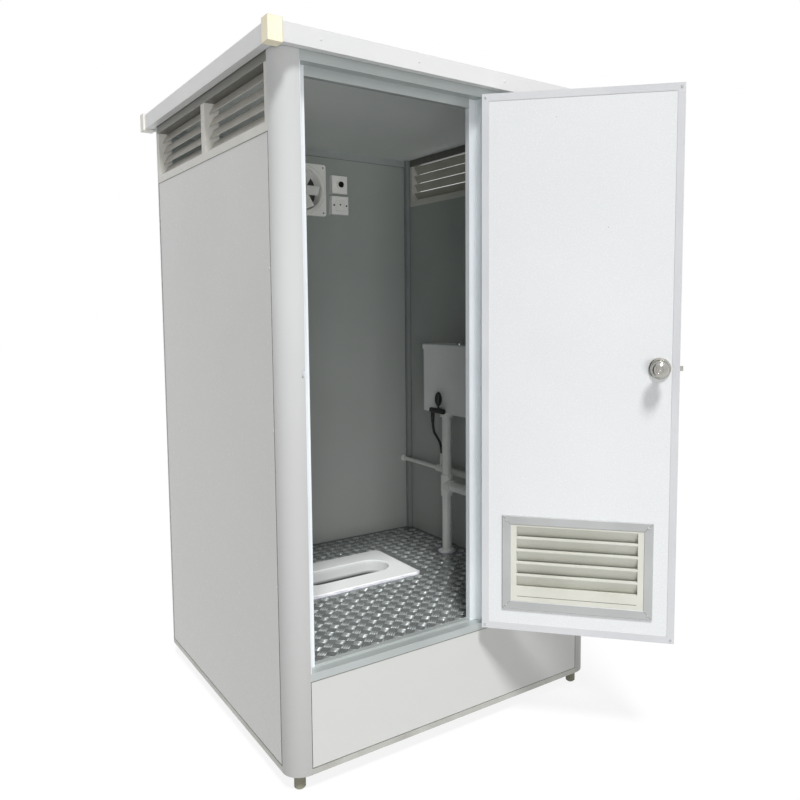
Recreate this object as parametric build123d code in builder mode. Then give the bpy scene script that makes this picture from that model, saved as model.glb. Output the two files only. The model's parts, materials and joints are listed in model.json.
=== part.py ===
# A free-standing toilet cabin: rounded aluminium posts, sandwich panels, an outward door and a squat pan.
# Millimetres. The origin is on the ground at the middle of the footprint, +X to the right seen from the
# front, +Y to the back, +Z up. The door stands open.
import os
from math import cos, hypot, radians, sin, tan

from build123d import *

os.makedirs("parts", exist_ok=True)

# Cabin envelope
WIDTH = 1250.0
DEPTH = 1300.0
WALL = 50.0
POST = 70.0
POST_EDGE = 6.0
POST_WALL = 3.0
POST_PLATE = 4.0

# Heights, stacked from the ground
FOOT_HEIGHT = 55.0
RAIL_HEIGHT = 21.0
PLINTH_HEIGHT = 274.0
SILL_HEIGHT = 25.0
OPENING_HEIGHT = 1813.0
HEAD_HEIGHT = 33.0

# Feet and the welded base frame
FOOT_RADIUS = 18.0
FOOT_INSET = 48.0
FOOT_CHAMFER = 5.0
BEARER = 40.0
FLOOR_PLATE = 3.0
FLOOR_DROP = 14.0

# Side louvres
LOUVRE_HEIGHT = 228.0
LOUVRE_BORDER = 20.0
LOUVRE_HEADER = 31.0
LOUVRE_SILL = 29.0
LOUVRE_MULLION = 40.0
LOUVRE_ROWS = 4
BLADE_CHORD = 39.0
BLADE_THICKNESS = 2.5
BLADE_ANGLE = 64.0

# Roof
ROOF_THICKNESS = 50.0
OVERHANG = 29.0
FASCIA_WALL = 3.0
FASCIA_GAP = 3.0
CAP_REACH = 36.0
CAP_WALL = 8.0
CAP_PLATE = 6.0

# Door frame
FRAME_DEPTH = 62.0
JAMB_STRIP = 2.0
JAMB_WIDTH = 28.0
STOP_LAP = 27.0
STOP_GAP = 2.0
SILL_STOP = 6.0

# Door
DOOR_WIDTH = 650.0
DOOR_THICKNESS = 38.0
DOOR_GAP = 2.0
DOOR_LIFT = 3.0
HINGE_GAP = 3.0
OPEN_ANGLE = 130.7
EDGE_WIDTH = 24.0
SKIN_RECESS = 1.0

# Hinges
PIN_PROUD = 7.0
PIN_RADIUS = 3.0
PIN_CLEARANCE = 0.05
PIN_HEAD_RADIUS = 5.0
PIN_HEAD = 2.0
KNUCKLE_RADIUS = 6.0
KNUCKLE_GAP = 0.4
HINGE_LENGTH = 90.0
HINGE_PLATE = 2.5
HINGE_PLATE_WIDTH = 26.0
HINGE_LOW = 183.0
HINGE_DROP = 253.0

# Door vent
VENT_WIDTH = 506.0
VENT_HEIGHT = 327.0
VENT_LIFT = 76.0
VENT_BORDER = 30.0
VENT_PROUD = 6.0
VENT_CHAMFER = 1.5
VENT_RAIL = 20.0
VENT_SILL = 44.0
VENT_HEADER = 6.0
VENT_RAIL_PROUD = 4.0
VENT_THROAT_WALL = 3.0
VENT_ROWS = 5
VENT_BLADE_ANGLE = 60.0
VENT_BLADE_ROOT = 1.5
VENT_SLIT = 2.5
VENT_LIP = 7.0
VENT_LIP_DEPTH = 10.0

# Knobs and latch
KNOB_BACKSET = 63.0
KNOB_HEIGHT = 913.0
KNOB_RADIUS = 27.0
KNOB_NECK_RADIUS = 12.0
KNOB_NECK = 22.0
KNOB_LENGTH = 36.0
KNOB_FACE_RADIUS = 16.0
KNOB_CLEARANCE = 0.05
ROSE_RADIUS = 35.5
ROSE_THICKNESS = 9.0
ROSE_RIM = 4.0
SPINDLE_RADIUS = 5.0
LOCK_BORE_RADIUS = 25.0
LATCH_BORE_RADIUS = 12.5
LATCH_THROW = 11.0
LATCH_WIDTH = 12.0
LATCH_HEIGHT = 16.0
LATCH_CLEARANCE = 0.3
LATCH_PLATE = 3.0
LATCH_PLATE_WIDTH = 25.0
LATCH_PLATE_HEIGHT = 57.0
STRIKE_ROOM = 3.0

# Rivets
RIVET_RADIUS = 2.0
RIVET_HEAD_RADIUS = 4.0
RIVET_HEAD = 1.6
RIVET_DEPTH = 10.0
RIVET_CLEARANCE = 0.05

# Squat pan and its drain
PAN_LENGTH = 540.0
PAN_WIDTH = 376.0
PAN_X = -47.0
PAN_Y = 136.0
PAN_RIM = 9.0
PAN_CORNER = 28.0
PAN_CHAMFER = 5.0
PAN_LIP = 4.0
PAN_WALL = 8.0
BOWL_LENGTH = 420.0
BOWL_WIDTH = 160.0
BOWL_DEPTH = 100.0
BOWL_TAPER = 20.0
PAN_OUTLET_X = -100.0
PAN_OUTLET = 20.0
DRAIN_RADIUS = 55.0
DRAIN_WALL = 4.0
DRAIN_BEND = 80.0
DRAIN_DROP = 6.0
DRAIN_TAIL = 40.0
DRAIN_COLLAR = 9.0
WALL_COLLAR = 4.0
PIPE_HOLE_CLEARANCE = 0.3

# Cistern on the right wall
CISTERN_WIDTH = 400.0
CISTERN_DEPTH = 140.0
CISTERN_HEIGHT = 285.0
CISTERN_WALL = 4.0
CISTERN_LIFT = 654.0
CISTERN_FORWARD = 81.0
CISTERN_ROUND = 14.0
LID_HEIGHT = 25.0
LID_LAP = 4.0
BUTTON_RADIUS = 20.0
BUTTON_PROUD = 5.0
BUTTON_SKIRT = 12.0
BUTTON_CLEARANCE = 0.3
BUTTON_ROD_RADIUS = 4.0
BUTTON_TRAVEL = 8.0

# Flush pipe
FLUSH_OUT = 87.0
PIPE_RADIUS = 22.0
PIPE_WALL = 3.0
FITTING_WALL = 6.0
FITTING_CLEARANCE = 0.3
SOCKET_DEPTH = 25.0
TEE_LIFT = 312.0
TEE_HALF = 49.0
OUTLET_NUT_RADIUS = 32.0
OUTLET_NUT = 24.0
FLUSH_BEND = 45.0
FLUSH_DIP = 62.0
SPUD_LENGTH = 30.0
COLLAR_RADIUS = 35.0
COLLAR_HEIGHT = 10.0
BRANCH_LENGTH = 216.0
BRANCH_CAP = 30.0

# Water supply
SUPPLY_OUT = 37.0
SUPPLY_LIFT = 362.0
SUPPLY_RADIUS = 10.0
SUPPLY_TAIL = 40.0
SUPPLY_COLLAR = 7.0
MAIN_RADIUS = 16.0
MAIN_LENGTH = 312.0
SUPPLY_TEE_RADIUS = 18.0
SUPPLY_TEE_HALF = 30.0
SUPPLY_TEE_BACK = 116.0
SUPPLY_SOCKET = 14.0
HOSE_TAIL_RADIUS = 9.0
HOSE_TAIL = 55.0

# Inlet valve on the front of the cistern
VALVE_OUT = 18.0
VALVE_FORWARD = 38.0
VALVE_RISE = 12.0
VALVE_RADIUS = 12.0
VALVE_LENGTH = 82.0
VALVE_BOSS_RADIUS = 9.0
VALVE_TAIL_BACK = 46.0
VALVE_TAIL = 34.0
HANDLE_STEM_RADIUS = 4.0
HANDLE_STEM = 8.0
HANDLE_RADIUS = 16.0
HANDLE_HEIGHT = 66.0
HANDLE_THICKNESS = 22.0
STEM_SEAT = 6.0
STEM_CLEARANCE = 0.05

# Fill hose between the valve and the supply tee
HOSE_RADIUS = 6.0
HOSE_DROP = 60.0
HOSE_RISE = 56.0
HOSE_BOW = (-6.0, -5.0, 9.0)
HOSE_ARC = 0.45

# Exhaust fan on the back wall
FAN_SIZE = 235.0
FAN_DROP = 190.0
FAN_FLANGE = 20.0
FAN_DUCT_RADIUS = 100.0
FAN_DUCT_WALL = 4.0
FAN_CORNER = 10.0
FAN_ARM = 10.0
FAN_ARM_WIDTH = 12.0
FAN_ARMS = 3
MOTOR_RADIUS = 30.0
MOTOR_LENGTH = 26.0
SHAFT_RADIUS = 4.0
SHAFT_CLEARANCE = 0.05
SHAFT_END = 0.5
IMPELLER_RADIUS = 90.0
IMPELLER_HUB_RADIUS = 27.0
IMPELLER_HUB = 22.0
IMPELLER_GAP = 2.0
IMPELLER_BLADES = 6
IMPELLER_CHORD = 44.0
IMPELLER_PITCH = 28.0
BLADE_ROOT = 1.0

# Lamp holder and switch on the back wall
PLATE_X = 186.0
LAMP_WIDTH = 78.0
LAMP_HEIGHT = 83.0
LAMP_DEPTH = 26.0
LAMP_DROP = 156.0
LAMP_RING_RADIUS = 20.0
LAMP_RING = 14.0
LAMP_BORE_RADIUS = 14.0
LAMP_BORE = 28.0
SWITCH_SIZE = 86.0
SWITCH_DEPTH = 28.0
PLATE_GAP = 11.5
ROCKER_SIZE = 48.0
ROCKER_THICKNESS = 8.0
ROCKER_PROUD = 1.0
ROCKER_ROOM = 0.6
ROCKER_POCKET = 12.0
TRUNNION_RADIUS = 2.0
TRUNNION = 3.0
TRUNNION_CLEARANCE = 0.05
BOX_ROUND = 3.0

# Levels
BASE = FOOT_HEIGHT
RAIL_TOP = BASE + RAIL_HEIGHT
SILL_BOTTOM = RAIL_TOP + PLINTH_HEIGHT
SILL_TOP = SILL_BOTTOM + SILL_HEIGHT
HEAD_BOTTOM = SILL_TOP + OPENING_HEIGHT
WALL_TOP = HEAD_BOTTOM + HEAD_HEIGHT
ROOF_TOP = WALL_TOP + ROOF_THICKNESS
FLOOR_TOP = SILL_TOP - FLOOR_DROP
FLOOR_UNDER = FLOOR_TOP - FLOOR_PLATE
LOUVRE_BOTTOM = WALL_TOP - LOUVRE_HEIGHT

# Planes of the walls
HALF_W = WIDTH / 2
HALF_D = DEPTH / 2
FRONT = -HALF_D
INNER_X = HALF_W - WALL
INNER_Y = HALF_D - WALL
POST_X = HALF_W - POST
POST_Y = HALF_D - POST
POST_ROUND = POST - POST_EDGE
FRAME_BACK = FRONT + FRAME_DEPTH
STOP_FRONT = FRONT + DOOR_THICKNESS + STOP_GAP
ROOF_X = HALF_W + OVERHANG
ROOF_Y = HALF_D + OVERHANG
FASCIA_LIP = OVERHANG - FASCIA_GAP

# The door as it closes, seen from the front: free edge on the left, hinge edge on the right
LEAF_LEFT = -POST_X + JAMB_STRIP + DOOR_GAP
LEAF_RIGHT = LEAF_LEFT + DOOR_WIDTH
LEAF_BOTTOM = SILL_TOP + DOOR_LIFT
LEAF_TOP = HEAD_BOTTOM - DOOR_GAP
JAMB_RIGHT = LEAF_RIGHT + HINGE_GAP
PANEL_LEFT = JAMB_RIGHT + JAMB_WIDTH
STOP_LEFT = LEAF_LEFT + STOP_LAP
STOP_RIGHT = LEAF_RIGHT - STOP_LAP

# The door's own frame: X from the hinge pin to the free edge, Y out of the outer face, Z up
EDGE_START = HINGE_GAP / 2
EDGE_END = EDGE_START + DOOR_WIDTH
LEAF_OUT = -PIN_PROUD
LEAF_IN = -PIN_PROUD - DOOR_THICKNESS
SKIN_OUT = LEAF_OUT - SKIN_RECESS
SKIN_IN = LEAF_IN + SKIN_RECESS
LEAF_MIDDLE = (LEAF_OUT + LEAF_IN) / 2
HINGE_X = LEAF_RIGHT + EDGE_START
HINGE_Y = FRONT - PIN_PROUD
DOOR_TURN = radians(180 + OPEN_ANGLE)
DOOR = Plane(
    origin=(HINGE_X, HINGE_Y, 0), x_dir=(cos(DOOR_TURN), sin(DOOR_TURN), 0), z_dir=(0, 0, 1)
)
KNOB_X = EDGE_END - KNOB_BACKSET
KNOB_Z = LEAF_BOTTOM + KNOB_HEIGHT
HINGE_LEVELS = (LEAF_BOTTOM + HINGE_LOW, LEAF_TOP - HINGE_DROP)

# Plumbing lines, counted from the right wall and from the middle of the pan
FLUSH_X = INNER_X - FLUSH_OUT
FLUSH_Y = PAN_Y
SUPPLY_X = INNER_X - SUPPLY_OUT
SUPPLY_Z = FLOOR_TOP + SUPPLY_LIFT
SUPPLY_TEE_Y = FLUSH_Y + SUPPLY_TEE_BACK
MAIN_END_Y = SUPPLY_TEE_Y - MAIN_LENGTH
BRANCH_END_Y = FLUSH_Y - BRANCH_LENGTH
CISTERN_BOTTOM = FLOOR_TOP + CISTERN_LIFT
CISTERN_TOP = CISTERN_BOTTOM + CISTERN_HEIGHT
CISTERN_FRONT_X = INNER_X - CISTERN_DEPTH
CISTERN_X = INNER_X - CISTERN_DEPTH / 2
CISTERN_Y = FLUSH_Y - CISTERN_FORWARD
VALVE_X = CISTERN_FRONT_X - VALVE_OUT
VALVE_Y = FLUSH_Y - VALVE_FORWARD
VALVE_Z = CISTERN_BOTTOM + VALVE_RISE
VALVE_TAIL_Y = VALVE_Y + VALVE_TAIL_BACK


def span(low, high, mode=Mode.ADD):
    """Add a box between two corners to the part that is being built."""
    size = [b - a for a, b in zip(low, high)]
    middle = tuple((a + b) / 2 for a, b in zip(low, high))
    with Locations(middle):
        Box(*size, mode=mode)


def rod(start, end, radius, mode=Mode.ADD):
    """Add a round bar between two points to the part that is being built."""
    axis = Vector(*end) - Vector(*start)
    with BuildSketch(Plane(origin=start, z_dir=axis)) as section:
        Circle(radius)
    extrude(section.sketch, amount=axis.length, mode=mode)


def save(piece, name):
    """Label a finished piece and write it as its own file."""
    piece.part.label = name
    export_step(piece.part, f"parts/{name}.step")


# Four levelling feet
with BuildPart() as feet:
    for side_x in (-1, 1):
        for side_y in (-1, 1):
            foot_x = side_x * (HALF_W - FOOT_INSET)
            foot_y = side_y * (HALF_D - FOOT_INSET)
            rod((foot_x, foot_y, 0), (foot_x, foot_y, FOOT_HEIGHT), FOOT_RADIUS)
    chamfer(feet.edges().group_by(Axis.Z)[0], FOOT_CHAMFER)
save(feet, "feet")

# Welded base frame: visible bottom rails, corner uprights and the bearers under the floor
JOIST_OFFSET = PAN_WIDTH / 2 + BEARER
BEARER_BOTTOM = FLOOR_UNDER - BEARER
with BuildPart() as base_frame:
    for side in (-1, 1):
        rail_outer = side * HALF_D
        rail_inner = side * INNER_Y
        span(
            (-POST_X, min(rail_outer, rail_inner), BASE), (POST_X, max(rail_outer, rail_inner), RAIL_TOP)
        )
        wall_outer = side * HALF_W
        wall_inner = side * INNER_X
        tube_inner = side * (INNER_X - BEARER)
        span(
            (min(wall_outer, wall_inner), -POST_Y, BASE), (max(wall_outer, wall_inner), POST_Y, RAIL_TOP)
        )
        tube_low = min(wall_inner, tube_inner)
        tube_high = max(wall_inner, tube_inner)
        span((tube_low, -POST_Y, BEARER_BOTTOM), (tube_high, POST_Y, FLOOR_UNDER))
        toe_low = min(side * POST_X, tube_inner)
        toe_high = max(side * POST_X, tube_inner)
        for end in (-1, 1):
            upright_low = min(end * POST_Y, end * (POST_Y - BEARER))
            upright_high = max(end * POST_Y, end * (POST_Y - BEARER))
            span((tube_low, upright_low, BASE), (tube_high, upright_high, FLOOR_UNDER))
            toe_y = sorted((end * POST_Y, end * INNER_Y))
            span((toe_low, toe_y[0], BASE), (toe_high, toe_y[1], RAIL_TOP))
        joist_y = PAN_Y + side * JOIST_OFFSET
        span(
            (-INNER_X + BEARER, joist_y - BEARER / 2, BEARER_BOTTOM),
            (INNER_X - BEARER, joist_y + BEARER / 2, FLOOR_UNDER),
        )
    span((-POST_X, FRAME_BACK, BEARER_BOTTOM), (POST_X, FRAME_BACK + BEARER, FLOOR_UNDER))
    span((-POST_X, INNER_Y - BEARER, BEARER_BOTTOM), (POST_X, INNER_Y, FLOOR_UNDER))
save(base_frame, "base_frame")

# Corner posts: hollow extrusions with one large rounded corner, closed by a plate at the foot
STRIKE_HALF = LATCH_HEIGHT / 2 + STRIKE_ROOM
STRIKE_BACK = HINGE_Y - LEAF_MIDDLE + LATCH_WIDTH / 2 + STRIKE_ROOM
STRIKE_LEFT = LEAF_LEFT - LATCH_THROW - STRIKE_ROOM
CORNERS = {
    "front_left": (-1, -1),
    "front_right": (1, -1),
    "back_left": (-1, 1),
    "back_right": (1, 1),
}
for corner, (side_x, side_y) in CORNERS.items():
    with BuildPart() as post:
        with BuildSketch(Plane.XY.offset(BASE)) as outline:
            with Locations((side_x * (HALF_W - POST / 2), side_y * (HALF_D - POST / 2))):
                Rectangle(POST, POST)
            outer_corner = outline.vertices().sort_by(lambda v: side_x * v.X + side_y * v.Y)[-1]
            fillet(outer_corner, POST_ROUND)
        extrude(amount=WALL_TOP - BASE)
        with BuildSketch(Plane.XY.offset(BASE + POST_PLATE)) as hollow:
            with Locations((side_x * (HALF_W - POST / 2), side_y * (HALF_D - POST / 2))):
                Rectangle(POST - 2 * POST_WALL, POST - 2 * POST_WALL)
            outer_corner = hollow.vertices().sort_by(lambda v: side_x * v.X + side_y * v.Y)[-1]
            fillet(outer_corner, POST_ROUND - POST_WALL)
        extrude(amount=WALL_TOP - BASE, mode=Mode.SUBTRACT)
        if corner == "front_left":
            span(
                (STRIKE_LEFT, FRONT - STRIKE_ROOM, KNOB_Z - STRIKE_HALF),
                (-POST_X + STRIKE_ROOM, STRIKE_BACK, KNOB_Z + STRIKE_HALF),
                Mode.SUBTRACT,
            )
    save(post, f"corner_post_{corner}")

# Side panels and the plinth
for name, side in (("left_panel", -1), ("right_panel", 1)):
    with BuildPart() as side_panel:
        wall_x = sorted((side * HALF_W, side * INNER_X))
        span((wall_x[0], -POST_Y, RAIL_TOP), (wall_x[1], POST_Y, LOUVRE_BOTTOM))
    save(side_panel, name)

with BuildPart() as plinth_panel:
    span((-POST_X, FRONT, RAIL_TOP), (POST_X, FRONT + WALL, SILL_BOTTOM))
save(plinth_panel, "plinth_panel")

# Fixed front panel beside the door
with BuildPart() as front_panel:
    span((PANEL_LEFT, FRONT, SILL_TOP), (POST_X, FRONT + WALL, HEAD_BOTTOM))
save(front_panel, "front_panel")

# Back panel, bored for the fan duct, the drain and the water supply
FAN_Z = WALL_TOP - FAN_DROP
BOWL_BOTTOM = FLOOR_TOP + PAN_RIM - BOWL_DEPTH
SPIGOT_BOTTOM = BOWL_BOTTOM - PAN_WALL - PAN_OUTLET
DRAIN_X = PAN_X + PAN_OUTLET_X
DRAIN_Z = SPIGOT_BOTTOM - DRAIN_DROP - DRAIN_BEND
with BuildPart() as back_panel:
    span((-POST_X, INNER_Y, RAIL_TOP), (POST_X, HALF_D, HEAD_BOTTOM))
    for hole_x, hole_z, hole_radius in (
        (0, FAN_Z, FAN_DUCT_RADIUS),
        (DRAIN_X, DRAIN_Z, DRAIN_RADIUS),
        (SUPPLY_X, SUPPLY_Z, SUPPLY_RADIUS),
    ):
        rod(
            (hole_x, INNER_Y, hole_z),
            (hole_x, HALF_D, hole_z),
            hole_radius + PIPE_HOLE_CLEARANCE,
            Mode.SUBTRACT,
        )
save(back_panel, "back_panel")

with BuildPart() as back_rail:
    span((-POST_X, INNER_Y, HEAD_BOTTOM), (POST_X, HALF_D, WALL_TOP))
save(back_rail, "back_rail")

# Side louvres: a frame with a mullion, and sloping blades whose outer edges hang low
BAY = POST_Y - LOUVRE_BORDER - LOUVRE_MULLION / 2
BAY_BOTTOM = LOUVRE_BOTTOM + LOUVRE_SILL
BAY_TOP = WALL_TOP - LOUVRE_HEADER
BAY_MIDDLE = LOUVRE_MULLION / 2 + BAY / 2
BLADE_STEP = (BAY_TOP - BAY_BOTTOM) / LOUVRE_ROWS
for name, side in (("left", -1), ("right", 1)):
    with BuildPart() as louvre_frame:
        wall_x = sorted((side * HALF_W, side * INNER_X))
        span((wall_x[0], -POST_Y, LOUVRE_BOTTOM), (wall_x[1], POST_Y, WALL_TOP))
        for end in (-1, 1):
            bay_y = sorted((end * LOUVRE_MULLION / 2, end * (LOUVRE_MULLION / 2 + BAY)))
            span((wall_x[0], bay_y[0], BAY_BOTTOM), (wall_x[1], bay_y[1], BAY_TOP), Mode.SUBTRACT)
    save(louvre_frame, f"louvre_frame_{name}")

with BuildPart() as louvre_blades:
    for side in (-1, 1):
        blade_x = side * (HALF_W - WALL / 2)
        for end in (-1, 1):
            for row in range(LOUVRE_ROWS):
                blade_z = BAY_BOTTOM + (row + 0.5) * BLADE_STEP
                with Locations((blade_x, end * BAY_MIDDLE, blade_z)):
                    Box(BLADE_CHORD, BAY, BLADE_THICKNESS, rotation=(0, side * BLADE_ANGLE, 0))
save(louvre_blades, "louvre_blades")

# Roof panel, fascia channels round its edge and caps on its corners
with BuildPart() as roof_panel:
    span(
        (-ROOF_X + FASCIA_WALL, -ROOF_Y + FASCIA_WALL, WALL_TOP),
        (ROOF_X - FASCIA_WALL, ROOF_Y - FASCIA_WALL, ROOF_TOP),
    )
save(roof_panel, "roof_panel")

for name, side in (("front", -1), ("back", 1)):
    with BuildPart() as fascia:
        web = sorted((side * ROOF_Y, side * (ROOF_Y - FASCIA_WALL)))
        lip = sorted((side * ROOF_Y, side * (ROOF_Y - FASCIA_LIP)))
        span((-ROOF_X, web[0], WALL_TOP - FASCIA_WALL), (ROOF_X, web[1], ROOF_TOP + FASCIA_WALL))
        span((-ROOF_X, lip[0], WALL_TOP - FASCIA_WALL), (ROOF_X, lip[1], WALL_TOP))
        span((-ROOF_X, lip[0], ROOF_TOP), (ROOF_X, lip[1], ROOF_TOP + FASCIA_WALL))
    save(fascia, f"fascia_{name}")

SIDE_FASCIA = ROOF_Y - FASCIA_LIP
for name, side in (("left", -1), ("right", 1)):
    with BuildPart() as fascia:
        web = sorted((side * ROOF_X, side * (ROOF_X - FASCIA_WALL)))
        lip = sorted((side * ROOF_X, side * (ROOF_X - FASCIA_LIP)))
        span((web[0], -SIDE_FASCIA, WALL_TOP - FASCIA_WALL), (web[1], SIDE_FASCIA, ROOF_TOP + FASCIA_WALL))
        span((lip[0], -SIDE_FASCIA, WALL_TOP - FASCIA_WALL), (lip[1], SIDE_FASCIA, WALL_TOP))
        span((lip[0], -SIDE_FASCIA, ROOF_TOP), (lip[1], SIDE_FASCIA, ROOF_TOP + FASCIA_WALL))
    save(fascia, f"fascia_{name}")

CAP_BOTTOM = WALL_TOP - FASCIA_WALL
CAP_TOP = ROOF_TOP + FASCIA_WALL
with BuildPart() as roof_corner_caps:
    for side_x, side_y in CORNERS.values():
        cap_x = sorted((side_x * (ROOF_X + CAP_WALL), side_x * (ROOF_X - CAP_REACH)))
        cap_y = sorted((side_y * (ROOF_Y + CAP_WALL), side_y * (ROOF_Y - CAP_REACH)))
        span((cap_x[0], cap_y[0], CAP_BOTTOM - CAP_PLATE), (cap_x[1], cap_y[1], CAP_TOP + CAP_PLATE))
    span((-ROOF_X, -ROOF_Y, CAP_BOTTOM), (ROOF_X, ROOF_Y, CAP_TOP), Mode.SUBTRACT)
save(roof_corner_caps, "roof_corner_caps")

# Door frame: jambs, head and sill, each with a stop behind the door
with BuildPart() as door_jamb_left:
    span((-POST_X, FRONT, SILL_TOP), (-POST_X + JAMB_STRIP, FRAME_BACK, HEAD_BOTTOM))
    span((-POST_X, STOP_FRONT, SILL_TOP), (STOP_LEFT, FRAME_BACK, HEAD_BOTTOM))
    span(
        (-POST_X, FRONT, KNOB_Z - STRIKE_HALF),
        (-POST_X + JAMB_STRIP, STRIKE_BACK, KNOB_Z + STRIKE_HALF),
        Mode.SUBTRACT,
    )
save(door_jamb_left, "door_jamb_left")

with BuildPart() as door_jamb_right:
    span((JAMB_RIGHT, FRONT, SILL_TOP), (PANEL_LEFT, FRAME_BACK, HEAD_BOTTOM))
    span((STOP_RIGHT, STOP_FRONT, SILL_TOP), (JAMB_RIGHT, FRAME_BACK, HEAD_BOTTOM))
save(door_jamb_right, "door_jamb_right")

with BuildPart() as head_rail:
    span((-POST_X, FRONT, HEAD_BOTTOM), (POST_X, FRAME_BACK, WALL_TOP))
    span((STOP_LEFT, STOP_FRONT, LEAF_TOP - STOP_LAP), (STOP_RIGHT, FRAME_BACK, HEAD_BOTTOM))
save(head_rail, "head_rail")

with BuildPart() as door_sill:
    span((-POST_X, FRONT, SILL_BOTTOM), (POST_X, FRAME_BACK, SILL_TOP))
    span((STOP_LEFT, STOP_FRONT, SILL_TOP), (STOP_RIGHT, FRAME_BACK, SILL_TOP + SILL_STOP))
save(door_sill, "door_sill")

# Floor plate, notched round the posts and cut for the pan and the flush pipe
with BuildPart() as floor_plate:
    span((-INNER_X, FRAME_BACK, FLOOR_UNDER), (INNER_X, INNER_Y, FLOOR_TOP))
    for side_x, side_y in CORNERS.values():
        notch_x = sorted((side_x * POST_X, side_x * HALF_W))
        notch_y = sorted((side_y * POST_Y, side_y * HALF_D))
        span((notch_x[0], notch_y[0], FLOOR_UNDER), (notch_x[1], notch_y[1], FLOOR_TOP), Mode.SUBTRACT)
    with BuildSketch(Plane.XY.offset(FLOOR_UNDER)):
        with Locations((PAN_X, PAN_Y)):
            SlotOverall(BOWL_LENGTH + 2 * PAN_WALL, BOWL_WIDTH + 2 * PAN_WALL)
        with Locations((FLUSH_X, FLUSH_Y)):
            Circle(PIPE_RADIUS + PIPE_HOLE_CLEARANCE)
    extrude(amount=FLOOR_PLATE, mode=Mode.SUBTRACT)
save(floor_plate, "floor_plate")

# Squat pan: a flat rim on the floor, a tapered bowl, an outlet and the spud for the flush pipe
PAN_TOP = FLOOR_TOP + PAN_RIM
FLUSH_Z = FLOOR_TOP - FLUSH_DIP
SPUD_END = PAN_X + BOWL_LENGTH / 2 + PAN_WALL + SPUD_LENGTH
with BuildPart() as squat_pan:
    with BuildSketch(Plane.XY.offset(FLOOR_TOP)):
        with Locations((PAN_X, PAN_Y)):
            RectangleRounded(PAN_LENGTH, PAN_WIDTH, PAN_CORNER)
    extrude(amount=PAN_RIM)
    chamfer(squat_pan.edges().group_by(Axis.Z)[-1], PAN_CHAMFER)
    for level, inset in ((FLOOR_TOP, 0), (BOWL_BOTTOM - PAN_WALL, BOWL_TAPER)):
        with BuildSketch(Plane.XY.offset(level)):
            with Locations((PAN_X, PAN_Y)):
                SlotOverall(
                    BOWL_LENGTH + 2 * (PAN_WALL - inset), BOWL_WIDTH + 2 * (PAN_WALL - inset)
                )
    loft()
    rod((PAN_X, FLUSH_Y, FLUSH_Z), (SPUD_END, FLUSH_Y, FLUSH_Z), PIPE_RADIUS + FITTING_WALL)
    rod((DRAIN_X, PAN_Y, BOWL_BOTTOM), (DRAIN_X, PAN_Y, SPIGOT_BOTTOM), DRAIN_RADIUS)
    for level, inset in ((PAN_TOP, 0), (BOWL_BOTTOM, BOWL_TAPER)):
        with BuildSketch(Plane.XY.offset(level)):
            with Locations((PAN_X, PAN_Y)):
                SlotOverall(BOWL_LENGTH - 2 * inset, BOWL_WIDTH - 2 * inset)
    loft(mode=Mode.SUBTRACT)
    fillet(squat_pan.faces().filter_by(GeomType.PLANE).sort_by(Axis.Z)[-1].inner_wires()[0].edges(), PAN_LIP)
    rod((PAN_X, FLUSH_Y, FLUSH_Z), (SPUD_END, FLUSH_Y, FLUSH_Z), PIPE_RADIUS - PIPE_WALL, Mode.SUBTRACT)
    rod(
        (DRAIN_X, PAN_Y, PAN_TOP), (DRAIN_X, PAN_Y, SPIGOT_BOTTOM), DRAIN_RADIUS - DRAIN_WALL, Mode.SUBTRACT
    )
save(squat_pan, "squat_pan")

# Drain bend from the pan to a tail behind the cabin, with a collar on the outside of the wall
with BuildPart() as drain_pipe:
    with BuildLine() as drain_route:
        FilletPolyline(
            (DRAIN_X, PAN_Y, SPIGOT_BOTTOM),
            (DRAIN_X, PAN_Y, DRAIN_Z),
            (DRAIN_X, HALF_D + WALL_COLLAR + DRAIN_TAIL, DRAIN_Z),
            radius=DRAIN_BEND,
        )
    with BuildSketch(Plane.XY.offset(SPIGOT_BOTTOM)):
        with Locations((DRAIN_X, PAN_Y)):
            Circle(DRAIN_RADIUS)
            Circle(DRAIN_RADIUS - DRAIN_WALL, mode=Mode.SUBTRACT)
    sweep(path=drain_route.wires()[0])
    with BuildSketch(Plane(origin=(DRAIN_X, HALF_D, DRAIN_Z), z_dir=(0, 1, 0))):
        Circle(DRAIN_RADIUS + DRAIN_COLLAR)
        Circle(DRAIN_RADIUS - DRAIN_WALL, mode=Mode.SUBTRACT)
    extrude(amount=WALL_COLLAR)
save(drain_pipe, "drain_pipe")

# Cistern body, open at the top, with the flush outlet in its floor
with BuildPart() as cistern_body:
    with BuildSketch(Plane.XY.offset(CISTERN_BOTTOM)):
        with Locations((CISTERN_X, CISTERN_Y)):
            RectangleRounded(CISTERN_DEPTH, CISTERN_WIDTH, CISTERN_ROUND)
    extrude(amount=CISTERN_HEIGHT)
    with BuildSketch(Plane.XY.offset(CISTERN_BOTTOM + CISTERN_WALL)):
        with Locations((CISTERN_X, CISTERN_Y)):
            RectangleRounded(
                CISTERN_DEPTH - 2 * CISTERN_WALL,
                CISTERN_WIDTH - 2 * CISTERN_WALL,
                CISTERN_ROUND - CISTERN_WALL,
            )
    extrude(amount=CISTERN_HEIGHT, mode=Mode.SUBTRACT)
    rod(
        (FLUSH_X, FLUSH_Y, CISTERN_BOTTOM),
        (FLUSH_X, FLUSH_Y, CISTERN_BOTTOM + CISTERN_WALL),
        PIPE_RADIUS - PIPE_WALL,
        Mode.SUBTRACT,
    )
save(cistern_body, "cistern_body")

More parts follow.
